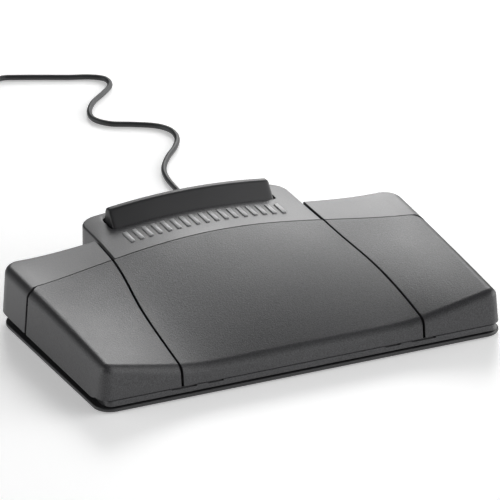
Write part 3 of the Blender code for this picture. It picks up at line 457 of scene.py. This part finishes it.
# ---- moulded shells -----------------------------------------------------------------------
class Side:
    """One side of a shell: plan line, corner inset, fold radius, draft, lower edge and corner rank."""

    def __init__(self, line, inset, fold, draft, bottom, rank):
        self.line, self.inset, self.fold = line, inset, fold
        self.draft, self.bottom, self.rank = draft, bottom, rank


def shell_surface(sides, offset, across, along, fold_steps, wall_steps, corner_steps):
    """One face of a shell, offset inwards: the grid of its top and the rings round its border."""
    left, right_side, front, rear = sides

    def inner(side, place):
        return max(side.inset(place), offset + (0.6 * MM if offset else 0.2 * MM))

    def spot(s, t):
        x, y = 0.0, 0.0
        for _ in range(6):
            x_low, x_high = left.line(y) + inner(left, y), right_side.line(y) - inner(right_side, y)
            x = x_low + s * (x_high - x_low)
            y_low, y_high = front.line(x) + inner(front, x), rear.line(x) - inner(rear, x)
            y = y_low + t * (y_high - y_low)
        return Vector((x, y))

    grid = [[spot(i / across, j / along) for i in range(across + 1)] for j in range(along + 1)]
    walk = [(front, 1, -1, [(i, 0) for i in range(across + 1)]),
            (right_side, 0, 1, [(across, j) for j in range(along + 1)]),
            (rear, 1, 1, [(i, along) for i in range(across, -1, -1)]),
            (left, 0, -1, [(0, j) for j in range(along, -1, -1)])]

    def reach(side, axis, sign, place):
        step = [0.0, 0.0]
        step[axis] = side.line(place[1 - axis]) - sign * offset - place[axis]
        return Vector(step)

    columns = []
    for number, (side, axis, sign, cells) in enumerate(walk):
        for i, j in cells:
            columns.append(((i, j), reach(side, axis, sign, grid[j][i]), side.fold, side.draft, side.bottom))
        after, after_axis, after_sign, _ = walk[(number + 1) % 4]
        i, j = cells[-1]
        first = reach(side, axis, sign, grid[j][i])
        last = reach(after, after_axis, after_sign, grid[j][i])
        higher = side if side.rank >= after.rank else after
        for step in range(1, corner_steps):
            share = step / corner_steps
            angle = math.pi / 2 * share
            bottom = side.bottom if share < 0.2 else after.bottom if share > 0.8 else higher.bottom
            columns.append(((i, j), first * math.cos(angle) + last * math.sin(angle),
                            side.fold * (1 - share) + after.fold * share,
                            side.draft * (1 - share) + after.draft * share, bottom))
    rings = []
    for level in range(fold_steps + 1):
        angle = math.pi / 2 * level / fold_steps
        ring = []
        for (i, j), arm, fold, _, _ in columns:
            radius = max(fold - offset, 0.3 * MM)
            inset = radius * (1 - math.sin(angle))
            place = grid[j][i] + arm * max(0.0, 1 - inset / arm.length)
            ring.append(Vector((place.x, place.y, top_height(place.x, place.y) - offset
                                - radius * (1 - math.cos(angle)))))
        rings.append(ring)
    top_ring = rings[-1]
    for level in range(1, wall_steps + 1):
        share = level / wall_steps
        ring = []
        for start, ((i, j), arm, _, draft, bottom) in zip(top_ring, columns):
            lean = arm.normalized() * draft
            foot = grid[j][i] + arm + lean
            low = bottom(foot.x, foot.y)
            ring.append(Vector((start.x + lean.x * share, start.y + lean.y * share,
                                start.z + (low - start.z) * share)))
        rings.append(ring)
    return grid, [cell for cell, *_ in columns], rings


def shell_mesh(sides, across, along, fold_steps=6, wall_steps=4, corner_steps=6):
    """A moulded shell, open below, joined to its inner face along the skirt's edge."""
    work = bmesh.new()
    feet = []
    for offset, steps, levels in ((0.0, fold_steps, wall_steps), (WALL, 2, 1)):
        grid, cells, rings = shell_surface(sides, offset, across, along, steps, levels, corner_steps)
        tops = [[work.verts.new((p.x, p.y, top_height(p.x, p.y) - offset)) for p in row] for row in grid]
        for j in range(along):
            for i in range(across):
                work.faces.new((tops[j][i], tops[j][i + 1], tops[j + 1][i + 1], tops[j + 1][i]))
        before = [tops[j][i] for i, j in cells]
        for ring in rings:
            made = [work.verts.new(point) for point in ring]
            for k in range(len(made)):
                after = (k + 1) % len(made)
                loop = [before[k], before[after], made[after], made[k]]
                work.faces.new([v for n, v in enumerate(loop) if v is not loop[n - 1]])
            before = made
        feet.append(before)
    outer, inner = feet
    for k in range(len(outer)):
        after = (k + 1) % len(outer)
        work.faces.new((outer[k], outer[after], inner[after], inner[k]))
    bmesh.ops.remove_doubles(work, verts=work.verts, dist=1e-7)
    for vert in work.verts:
        x, y, z = vert.co
        moved = y + seam_bend(x, y)
        share = max(0.0, z - SKIRT_BOTTOM) / (top_height(x, y) - SKIRT_BOTTOM)
        vert.co = (x, moved, z + (top_height(x, moved) - top_height(x, y)) * share)
    return work


def constant(value):
    """A value that is the same all along a side."""
    return lambda _: value


def slope(start, start_value, end, end_value):
    """A value that changes evenly along a side."""
    def value(place):
        share = min(1, max(0, (place - start) / (end - start)))
        return start_value + (end_value - start_value) * share
    return value


def outer_line(y):
    """Half width of the body at its outer walls, before their draft."""
    return SKIRT_HALF - SIDE_DRAFT + SKIRT_FLARE * y


SEAM_INSET, SEAM_FOLD = 0.15 * MM, 0.15 * MM
tread_front = Side(constant(FRONT_Y), constant(6.5 * MM), 5.5 * MM, FRONT_DRAFT, front_bottom, 1)
tread_rear = Side(lambda x: seam_y(x) - CAP_GAP / 2, constant(SEAM_INSET), SEAM_FOLD, 0.0, bulkhead_bottom, 3)
cap_front = Side(lambda x: seam_y(x) + CAP_GAP / 2, constant(SEAM_INSET), SEAM_FOLD, 0.0, bulkhead_bottom, 3)


def make_wing(name, sign):
    """The tread and the rear cap of a wing pedal. sign is -1 on the left and 1 on the right."""
    far = Side(lambda y: sign * outer_line(y), slope(-90 * MM, 6.5 * MM, 40 * MM, 7 * MM), 6.5 * MM,
               SIDE_DRAFT, skirt_bottom, 2)
    far_cap = Side(lambda y: sign * outer_line(y), constant(13 * MM), 6.5 * MM, SIDE_DRAFT, skirt_bottom, 2)
    near = Side(lambda y: sign * (seam_x(y) + SEAM_GAP / 2), constant(SEAM_INSET), SEAM_FOLD, 0.0,
                seam_skirt_bottom, 0)
    rear = Side(lambda x: WING_REAR_Y - 1.0 * MM * (x / (140 * MM)) ** 2,
                lambda x: slope(80 * MM, 2.2 * MM, 130 * MM, 13 * MM)(abs(x)), 2.0 * MM, 1.0 * MM,
                skirt_bottom, 2)
    tread_sides = (far, near) if sign < 0 else (near, far)
    cap_sides = (far_cap, near) if sign < 0 else (near, far_cap)
    finish_piece(name + "_tread_skin", shell_mesh((*tread_sides, tread_front, tread_rear), 24, 44),
                 "grained_plastic", name + "_pedal", name + "_tread")
    finish_piece(name + "_cap_skin", shell_mesh((*cap_sides, cap_front, rear), 24, 14),
                 "satin_plastic", name + "_pedal", name + "_cap")


def centre_edge(y):
    """Half width of the centre pedal's shells."""
    return seam_x(y) - SEAM_GAP / 2


def centre_bottom(x, y):
    """Lower edge of the centre cap's sides, low behind the wings and high between them."""
    share = min(1.0, max(0.0, (y - 60 * MM) / (10 * MM)))
    return seam_skirt_bottom(x, y) * (1 - share) + skirt_bottom(x, y) * share


def slot_cutter():
    """The bar's slot: straight below, opening in a small round at the surface."""
    rings = []
    for grow, height in ((0.0, -14 * MM), (0.0, -0.4 * MM), (0.05 * MM, -0.2 * MM), (0.15 * MM, -0.05 * MM),
                         (0.3 * MM, 0.0), (0.35 * MM, 6 * MM)):
        outline = rounded_outline([(-SLOT_HALF - grow, SLOT_FRONT_Y - grow, SLOT_CORNER),
                                   (SLOT_HALF + grow, SLOT_FRONT_Y - grow, SLOT_CORNER),
                                   (SLOT_HALF + grow, SLOT_REAR_Y + grow, SLOT_CORNER),
                                   (-SLOT_HALF - grow, SLOT_REAR_Y + grow, SLOT_CORNER)], 6)
        long_side = []
        for n, point in enumerate(outline):
            after = outline[(n + 1) % len(outline)]
            pieces = 30 if (after - point).length > 50 * MM else 1
            long_side += [point.lerp(after, k / pieces) for k in range(pieces)]
        rings.append([(p.x, p.y, top_height(p.x, p.y) + height) for p in long_side])
    work = bmesh.new()
    loft_rings(work, rings)
    return finish_piece("slot_cutter", work, "satin_plastic", None)


def make_centre():
    """The tread and the rear cap of the centre pedal, with the bar's slot and the cord's notch."""
    near = [Side(lambda y, s=s: s * centre_edge(y), constant(SEAM_INSET), SEAM_FOLD, 0.0,
                 seam_skirt_bottom, 0) for s in (-1, 1)]
    finish_piece("centre_tread_skin", shell_mesh((*near, tread_front, tread_rear), 56, 44),
                 "grained_plastic", "centre_pedal", "centre_tread")
    corner = slope(60 * MM, 1.5 * MM, 84 * MM, 13 * MM)
    walls = [Side(lambda y, s=s: s * centre_edge(y), corner, 1.3 * MM, 0.0, centre_bottom, 0)
             for s in (-1, 1)]
    rear = Side(constant(CENTRE_REAR_Y), constant(13 * MM), 1.8 * MM, 0.5 * MM, skirt_bottom, 0)
    cap = finish_piece("centre_cap_skin", shell_mesh((*walls, cap_front, rear), 56, 22),
                       "satin_plastic", "centre_pedal", "centre_cap")
    cut(cap, slot_cutter())
    notch = box_mesh((CORD_X - 7 * MM, 92 * MM, 2 * MM), (CORD_X + 7 * MM, 108 * MM, 19 * MM), 2 * MM)
    cut(cap, finish_piece("notch_cutter", notch, "satin_plastic", None))
    cap.data.shade_smooth()
    cap.data.set_sharp_from_angle(angle=math.radians(40))


def make_well():
    """The dark pocket under the bar: side walls and a floor that hold its pin."""
    half = SLOT_HALF + 0.8 * MM
    low, high = Vector((-half, 76.5 * MM, 27 * MM)), Vector((half, 91 * MM, 30 * MM))
    floor = box_mesh(low - Vector((3 * MM, 0, 0)), high + Vector((3 * MM, 0, 0)), 0.3 * MM, 2)
    finish_piece("bar_well_floor", floor, "black_plastic", "centre_pedal")
    for side_name, sign in (("left", -1), ("right", 1)):
        inner, outer = sorted((sign * high.x, sign * (high.x + 3 * MM)))
        wall = box_mesh((inner, low.y, 30.05 * MM), (outer, high.y, 41.5 * MM), 0.3 * MM, 2)
        finish_piece(f"bar_well_{side_name}", wall, "black_plastic", "centre_pedal")


RIB_COUNT, RIB_PITCH, RIB_WIDTH, RIB_REACH, RIB_HEIGHT = 17, 7.0 * MM, 3.2 * MM, 7.5 * MM, 0.8 * MM


def make_ribs():
    """A row of plain raised ribs on the arc in front of the bar, coloured light as a painted highlight."""
    for number in range(RIB_COUNT):
        x = (number - (RIB_COUNT - 1) / 2) * RIB_PITCH
        middle = seam_y(x) + 21 * MM
        rings = []
        for grow, height in ((0.0, -0.8 * MM), (0.0, RIB_HEIGHT - 0.3 * MM),
                             (-0.09 * MM, RIB_HEIGHT - 0.09 * MM), (-0.3 * MM, RIB_HEIGHT)):
            wide, deep = RIB_WIDTH / 2 + grow, RIB_REACH + grow
            radius = 0.7 * MM + grow
            ends = ((-wide, -deep), (wide, -deep), (wide, deep), (-wide, deep))
            outline = rounded_outline([(x + across, middle + along, radius) for across, along in ends], 4)
            rings.append([(p.x, p.y, top_height(p.x, p.y) + height) for p in outline])
        work = bmesh.new()
        loft_rings(work, rings)
        finish_piece(f"raised_rib_{number + 1}", work, PAINTED_RIB_HIGHLIGHT, "centre_pedal", angle=30,
                     slot="satin_plastic")


# ---- top bar ------------------------------------------------------------------------------
def bar_section(x, shrink):
    """Outline of the bar across X: a sloping front, a round ridge and a steep back."""
    ridge = BAR_RIDGE_Z - BAR_ARCH * (x / BAR_HALF) ** 2
    foot = top_height(x, BAR_FRONT_Y) - 1.6 * MM
    back_foot = top_height(x, BAR_REAR_Y) - 1.6 * MM
    lower_front = BAR_FRONT_Y + 1.2 * MM
    corners = [(lower_front, BAR_BOTTOM, 0.5), (BAR_REAR_Y, BAR_BOTTOM, 0.5), (BAR_REAR_Y, back_foot, 1.0),
               (BAR_RIDGE_Y + 3.2 * MM, ridge + 0.3 * MM, 2.4),
               (BAR_RIDGE_Y - 2.4 * MM, ridge + 0.5 * MM, 3.0),
               (BAR_FRONT_Y, foot + 0.5 * MM, 0.3), (lower_front, foot - 0.5 * MM, 0.3)]
    outline = rounded_outline([(y, z, r * MM) for y, z, r in corners], 8)
    middle = Vector(((BAR_FRONT_Y + BAR_REAR_Y) / 2 + 2 * MM, (BAR_BOTTOM + ridge) / 2))
    return [p + (middle - p).normalized() * shrink for p in outline]


def make_bar():
    """The near-black bar: a loft along X with rounded ends."""
    stations, end_radius, end_steps = 48, 1.6 * MM, 5
    sections = []
    for k in range(end_steps):
        angle = math.pi / 2 * k / end_steps
        sections.append((BAR_HALF - end_radius * (1 - math.sin(angle)), end_radius * (1 - math.cos(angle))))
    left_end = [(-x, shrink) for x, shrink in reversed(sections)]
    middle = [((BAR_HALF - end_radius) * (2 * k / stations - 1), 0.0) for k in range(1, stations)]
    rings = []
    for x, shrink in left_end + middle + sections:
        rings.append([(x, p.x, p.y) for p in bar_section(x, shrink)])
    work = bmesh.new()
    loft_rings(work, rings)
    finish_piece("bar_pedal_skin", work, "black_plastic", "top_bar", "bar_pedal", angle=35)


# ---- base ---------------------------------------------------------------------------------
def base_outline(inset, steps=10):
    """Outline of the base, moved in from the rim."""
    front, wing_rear, rear = BASE_FRONT_Y + inset, BASE_WING_Y - inset, BASE_REAR_Y - inset
    neck = BASE_NECK_HALF - inset
    half = [(RIM_HALF + RIM_FLARE * front - inset, front, max(12 * MM - inset, 2 * MM)),
            (RIM_HALF + RIM_FLARE * wing_rear - inset, wing_rear, max(17 * MM - inset, 3 * MM)),
            (neck, wing_rear, max(3 * MM, inset)), (neck, rear, max(13 * MM - inset, 3 * MM))]
    return rounded_outline(half + [(-x, y, r) for x, y, r in reversed(half)], steps)


def make_base():
    """The base tray: a floor with a softly rounded rim and a raised wall inside it."""
    wall_out, wall_in = BASE_WALL_INSET, BASE_WALL_INSET + BASE_WALL_T
    levels = [(0.9 * MM, FLOOR_BOTTOM), (0.3 * MM, FLOOR_BOTTOM + 0.15 * MM),
              (0.0, FLOOR_BOTTOM + 0.6 * MM),
              (0.0, FLOOR_TOP - 0.7 * MM), (0.12 * MM, FLOOR_TOP - 0.3 * MM),
              (0.4 * MM, FLOOR_TOP - 0.06 * MM),
              (0.8 * MM, FLOOR_TOP), (wall_out - 0.3 * MM, FLOOR_TOP), (wall_out, FLOOR_TOP + 0.3 * MM),
              (wall_out, BASE_WALL_TOP - 0.3 * MM), (wall_out + 0.3 * MM, BASE_WALL_TOP),
              (wall_in - 0.3 * MM, BASE_WALL_TOP), (wall_in, BASE_WALL_TOP - 0.3 * MM), (wall_in, FLOOR_TOP)]
    work = bmesh.new()
    loft_rings(work, [[(p.x, p.y, z) for p in base_outline(inset)] for inset, z in levels])
    tray = finish_piece("base_tray_skin", work, "black_plastic", "base", "base_tray")
    space = box_mesh((-(SILL_HALF + 2 * MM), -103 * MM, FLOOR_TOP + 0.02 * MM),
                     (SILL_HALF + 2 * MM, SILL_REAR_Y + 0.2 * MM, 14 * MM))
    cut(tray, finish_piece("sill_space", space, "black_plastic", None))
    tray.data.shade_smooth()
    tray.data.set_sharp_from_angle(angle=math.radians(40))


def sill_outline(inset):
    """Outline of the front strip, whose ends turn the corners."""
    outer, inner = SILL_HALF - inset, SILL_HALF - SILL_T + inset
    end, radius = SILL_REAR_Y - inset, 0.15 * MM
    half = [(outer, SILL_FRONT_Y + inset, SILL_CORNER - inset), (outer, end, radius), (inner, end, radius),
            (inner, SILL_FRONT_Y + SILL_T - inset, SILL_CORNER - SILL_T + inset)]
    return rounded_outline(half + [(-x, y, r) for x, y, r in reversed(half)], 8)


def make_sill():
    """The fixed front strip, with the slits at the ends of the gaps and beside them."""
    levels = [(0.3 * MM, SILL_BOTTOM), (0.0, SILL_BOTTOM + 0.3 * MM), (0.0, SILL_TOP - 0.3 * MM),
              (0.1 * MM, SILL_TOP - 0.1 * MM), (0.3 * MM, SILL_TOP)]
    work = bmesh.new()
    loft_rings(work, [[(p.x, p.y, z) for p in sill_outline(inset)] for inset, z in levels])
    sill = finish_piece("front_sill_skin", work, "grained_plastic", "base", "front_sill")
    for sign in (-1, 1):
        for start, end in SLITS:
            low_x, high_x = sorted((sign * start, sign * end))
            slit = box_mesh((low_x, SILL_FRONT_Y - 1 * MM, SILL_TOP - 0.8 * MM),
                            (high_x, FRONT_Y, 14 * MM))
            cut(sill, finish_piece("slit_cutter", slit, "grained_plastic", None))
    sill.data.shade_smooth()
    sill.data.set_sharp_from_angle(angle=math.radians(30))


def make_feet():
    """Round rubber pads with softly rounded edges and a shallow ring."""
    for number in range(1, 7):
        name = f"rubber_foot_{number}"
        low, high = (Vector(corner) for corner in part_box(name))
        middle, radius, top = (low + high) / 2, (high.x - low.x) / 2, high.z
        profile = [(radius, top), (radius, 0.35 * MM), (radius - 0.1 * MM, 0.1 * MM),
                   (radius - 0.35 * MM, 0.0), (radius * 0.62, 0.0), (radius * 0.60, 0.25 * MM),
                   (radius * 0.52, 0.25 * MM), (radius * 0.50, 0.0)]
        sides = 40
        turns = [2 * math.pi * k / sides for k in range(sides)]
        rings = [[(middle.x + r * math.cos(turn), middle.y + r * math.sin(turn), z) for turn in turns]
                 for r, z in profile]
        work = bmesh.new()
        loft_rings(work, rings)
        finish_piece(name + "_pad", work, "black_rubber", "base", name, angle=50)


make_wing("left", -1)
make_wing("right", 1)
make_centre()
make_well()
make_ribs()
make_bar()
make_base()
make_sill()
make_feet()

# ---- cord ---------------------------------------------------------------------------------
ROUTE = [(40.0, 113.4, 7.0), (40.1, 124.0, 4.4), (40.4, 136.0, 2.5), (41.0, 160.0, 2.2), (41.8, 182.0, 2.2),
         (42.6, 202.3, 2.2), (44.4, 222.0, 2.2), (49.4, 238.6, 2.2), (59.4, 254.6, 2.2), (71.8, 269.6, 2.2),
         (79.6, 283.8, 2.2), (81.0, 298.2, 2.2), (74.6, 309.8, 2.2), (60.4, 319.2, 2.2), (46.2, 327.0, 2.2),
         (38.8, 339.0, 2.2), (41.2, 353.4, 2.2), (51.0, 368.6, 2.2), (64.4, 381.0, 2.2), (74.2, 392.4, 2.2),
         (75.4, 404.6, 2.2), (66.6, 412.6, 2.2), (52.0, 418.4, 2.2), (34.0, 426.8, 2.2), (14.0, 435.6, 2.2)]


def catmull(points, steps=12):
    """Points along the smooth curve through a route."""
    places = [2 * points[0] - points[1]] + points + [2 * points[-1] - points[-2]]
    fine = []
    for a, b, c, d in zip(places, places[1:], places[2:], places[3:]):
        for step in range(steps):
            t = step / steps
            fine.append(0.5 * (2 * b + (c - a) * t + (2 * a - 5 * b + 4 * c - d) * t ** 2
                               + (3 * b - a - 3 * c + d) * t ** 3))
    fine.append(places[-2])
    return fine


def length_of(points):
    """Length of a line through points."""
    return sum((b - a).length for a, b in zip(points, points[1:]))


TIP = Vector((-43.3, 491.5, 4.3)) * MM          # where the cord goes into its plug
LEAD_IN = [(8.2, 437.3, 2.2), (2.0, 436.6, 2.2), (-4.2, 433.0, 2.2)]
TAIL = [(-55.6, 463.5, 13.9), (-56.2, 471.5, 11.4), (-55.4, 479.5, 7.2), (-52.4, 486.3, 4.7),
        (-47.8, 490.4, 4.3)]
LAYERS, TURNS, CLIMB = 4, 3.442, 0.2            # layers, turns in each, and turns spent between them
WIND_PITCH, LAYER_PITCH = 4.02 * MM, 4.05 * MM
START_ANGLE = math.radians(-52)


def wound(outer):
    """Points of the coil: clockwise spirals, inwards and outwards in turn, one layer on the other."""
    points, angle, steps = [], START_ANGLE, 30
    for layer in range(LAYERS):
        level = CORD_R + 0.2 * MM + layer * LAYER_PITCH
        inwards = layer % 2 == 0
        count = round(TURNS * steps)
        for step in range(count + 1):
            share = step / count
            depth = WIND_PITCH * TURNS * (share if inwards else 1 - share)
            turned = angle - 2 * math.pi * TURNS * share
            points.append(Vector((COIL_CENTRE.x + (outer - depth) * math.cos(turned),
                                  COIL_CENTRE.y + (outer - depth) * math.sin(turned), level)))
        angle -= 2 * math.pi * TURNS
        if layer == LAYERS - 1:
            break
        radius = outer - (WIND_PITCH * TURNS if inwards else 0.0)
        climbs = round(CLIMB * steps)
        for step in range(1, climbs):
            turned = angle - 2 * math.pi * CLIMB * step / climbs
            points.append(Vector((COIL_CENTRE.x + radius * math.cos(turned),
                                  COIL_CENTRE.y + radius * math.sin(turned),
                                  level + LAYER_PITCH * smooth(step / climbs))))
        angle -= 2 * math.pi * CLIMB
    return points


def cord_points(outer):
    """The whole cord: its route, its coil of a given outer radius and its end in the plug."""
    coil = wound(outer)
    route = catmull([Vector(p) * MM for p in ROUTE + LEAD_IN] + coil[:2])[:-12]
    end = catmull(coil[-2:] + [Vector(p) * MM for p in TAIL] + [TIP])[12:]
    return route + coil + end[1:]


def make_cord():
    """The free cord at its full length, with a coil whose size follows from that length."""
    low, high = 24 * MM, 34 * MM
    for _ in range(30):
        outer = (low + high) / 2
        if length_of(cord_points(outer)) < CORD_LENGTH:
            low = outer
        else:
            high = outer
    points = cord_points(outer)
    data = bpy.data.curves.new("cord", "CURVE")
    data.dimensions = "3D"
    data.bevel_depth, data.bevel_resolution, data.use_fill_caps = CORD_R, 4, True
    spline = data.splines.new("POLY")
    spline.points.add(len(points) - 1)
    for point, place in zip(spline.points, points):
        point.co = (*place, 1.0)
    spline.use_smooth = True
    data.materials.append(LOOKS["cable_jacket"])
    cord = bpy.data.objects.new("cord", data)
    bpy.context.scene.collection.objects.link(cord)
    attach(cord, "base")
    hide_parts("cable_run", "cable_coil")
    return cord, outer


def turned_along_y(profile, x, z, sides=28):
    """Rings of a turned piece whose axis runs along Y: the profile is a list of (y, radius)."""
    return [[(x + r * math.cos(2 * math.pi * k / sides), y, z + r * math.sin(2 * math.pi * k / sides))
             for k in range(sides)] for y, r in profile]


def make_relief():
    """The strain relief: a collar, then a tapered sleeve with rings round it."""
    profile = [(RELIEF_START_Y, 2.2 * MM), (RELIEF_START_Y, 3.0 * MM), (93.6 * MM, 3.0 * MM),
               (94.0 * MM, 2.6 * MM)]
    rings, first, last = 7, 95.0 * MM, RELIEF_END_Y - 1.6 * MM
    pitch = (last - first) / rings
    for number in range(rings):
        start = first + number * pitch
        full = 3.0 * MM - 0.5 * MM * number / rings
        profile += [(start, full - 0.45 * MM), (start + 0.12 * pitch, full - 0.08 * MM),
                    (start + 0.2 * pitch, full), (start + 0.6 * pitch, full),
                    (start + 0.68 * pitch, full - 0.08 * MM), (start + 0.8 * pitch, full - 0.45 * MM)]
    profile += [(last, 2.45 * MM), (RELIEF_END_Y - 0.25 * MM, 2.4 * MM), (RELIEF_END_Y, 2.2 * MM)]
    work = bmesh.new()
    loft_rings(work, turned_along_y(profile, CORD_X, CORD_EXIT_Z))
    return finish_piece("strain_relief_sleeve", work, "black_rubber", "base", "strain_relief", angle=35)


def make_tie(outer):
    """A strap over the windings on the left of the coil."""
    middle = COIL_CENTRE.x - outer + WIND_PITCH * TURNS / 2
    reach = WIND_PITCH * TURNS / 2 + CORD_R + 0.25 * MM
    top, thick = CORD_R + 3 * LAYER_PITCH + 2.5 * MM, 1.0 * MM
    rings = []
    for y, shrink in ((-2.0 * MM, 0.25 * MM), (-1.75 * MM, 0.0), (1.75 * MM, 0.0), (2.0 * MM, 0.25 * MM)):
        legs = 5.0 * MM + shrink
        outer_reach, outer_top = reach + thick - shrink, top + thick - shrink
        inner_reach, inner_top = reach + shrink, top + shrink
        outside = [(middle + outer_reach, legs, 0.2 * MM), (middle + outer_reach, outer_top, 3.0 * MM),
                   (middle - outer_reach, outer_top, 3.0 * MM), (middle - outer_reach, legs, 0.2 * MM)]
        inside = [(middle - inner_reach, legs, 0.2 * MM), (middle - inner_reach, inner_top, 2.2 * MM),
                  (middle + inner_reach, inner_top, 2.2 * MM), (middle + inner_reach, legs, 0.2 * MM)]
        rings.append([(p.x, COIL_CENTRE.y + y, p.y) for p in rounded_outline(outside + inside, 6)])
    work = bmesh.new()
    loft_rings(work, rings)
    return finish_piece("cable_tie_strap", work, "black_plastic", "base", "cable_tie", angle=35)


def sections_along_x(stations, middle, radius):
    """Rings of rounded rectangles across X: stations are (x, half width along Y, half height)."""
    rings = []
    for x, wide, tall in stations:
        corner = min(radius, wide * 0.8, tall * 0.8)
        outline = rounded_outline([(-wide, -tall, corner), (wide, -tall, corner), (wide, tall, corner),
                                   (-wide, tall, corner)], 6)
        rings.append([(x, middle.y + p.x, middle.z + p.y) for p in outline])
    return rings


def make_plug():
    """The plug: a moulded grip with shallow finger grooves and a plated open shell."""
    low, high = (Vector(corner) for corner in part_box("plug_body"))
    middle = (low + high) / 2
    stations = [(low.x, 2.3 * MM, 2.3 * MM), (low.x + 0.4 * MM, 2.9 * MM, 2.8 * MM),
                (low.x + 6 * MM, 3.3 * MM, 3.1 * MM), (low.x + 9 * MM, 6.6 * MM, 3.6 * MM),
                (low.x + 10.5 * MM, 7.4 * MM, 3.95 * MM)]
    for groove in range(4):
        start = low.x + 13 * MM + groove * 2.6 * MM
        stations += [(start, 7.5 * MM, 4.0 * MM), (start + 0.4 * MM, 7.1 * MM, 3.7 * MM),
                     (start + 1.0 * MM, 7.1 * MM, 3.7 * MM), (start + 1.4 * MM, 7.5 * MM, 4.0 * MM)]
    stations += [(high.x - 0.8 * MM, 7.5 * MM, 4.0 * MM), (high.x - 0.2 * MM, 7.2 * MM, 3.7 * MM),
                 (high.x, 6.8 * MM, 3.3 * MM)]
    work = bmesh.new()
    loft_rings(work, sections_along_x(stations, middle, 2.0 * MM))
    body = finish_piece("plug_grip", work, "black_plastic", "base", "plug_body", angle=35)

    low, high = (Vector(corner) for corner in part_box("plug_shell"))
    middle, wide, tall = (low + high) / 2, (high.y - low.y) / 2, (high.z - low.z) / 2
    wall = 0.35 * MM
    work = bmesh.new()
    stations = [(low.x, wide, tall), (high.x - 0.1 * MM, wide, tall),
                (high.x, wide - 0.1 * MM, tall - 0.1 * MM), (high.x, wide - wall, tall - wall),
                (low.x + 2 * MM, wide - wall, tall - wall)]
    loft_rings(work, sections_along_x(stations, middle, 0.5 * MM))
    shell = finish_piece("plug_shell_skin", work, "plug_metal", "base", "plug_shell", angle=35)
    tongue = box_mesh((low.x + 2.05 * MM, low.y + 1 * MM, middle.z),
                      (high.x - 0.6 * MM, high.y - 1 * MM, middle.z + 1.6 * MM), 0.2 * MM)
    inside = finish_piece("plug_tongue", tongue, "black_plastic", "base")
    return [body, shell, inside]


cord, coil_outer = make_cord()
relief = make_relief()
tie = make_tie(coil_outer)
plug = make_plug()
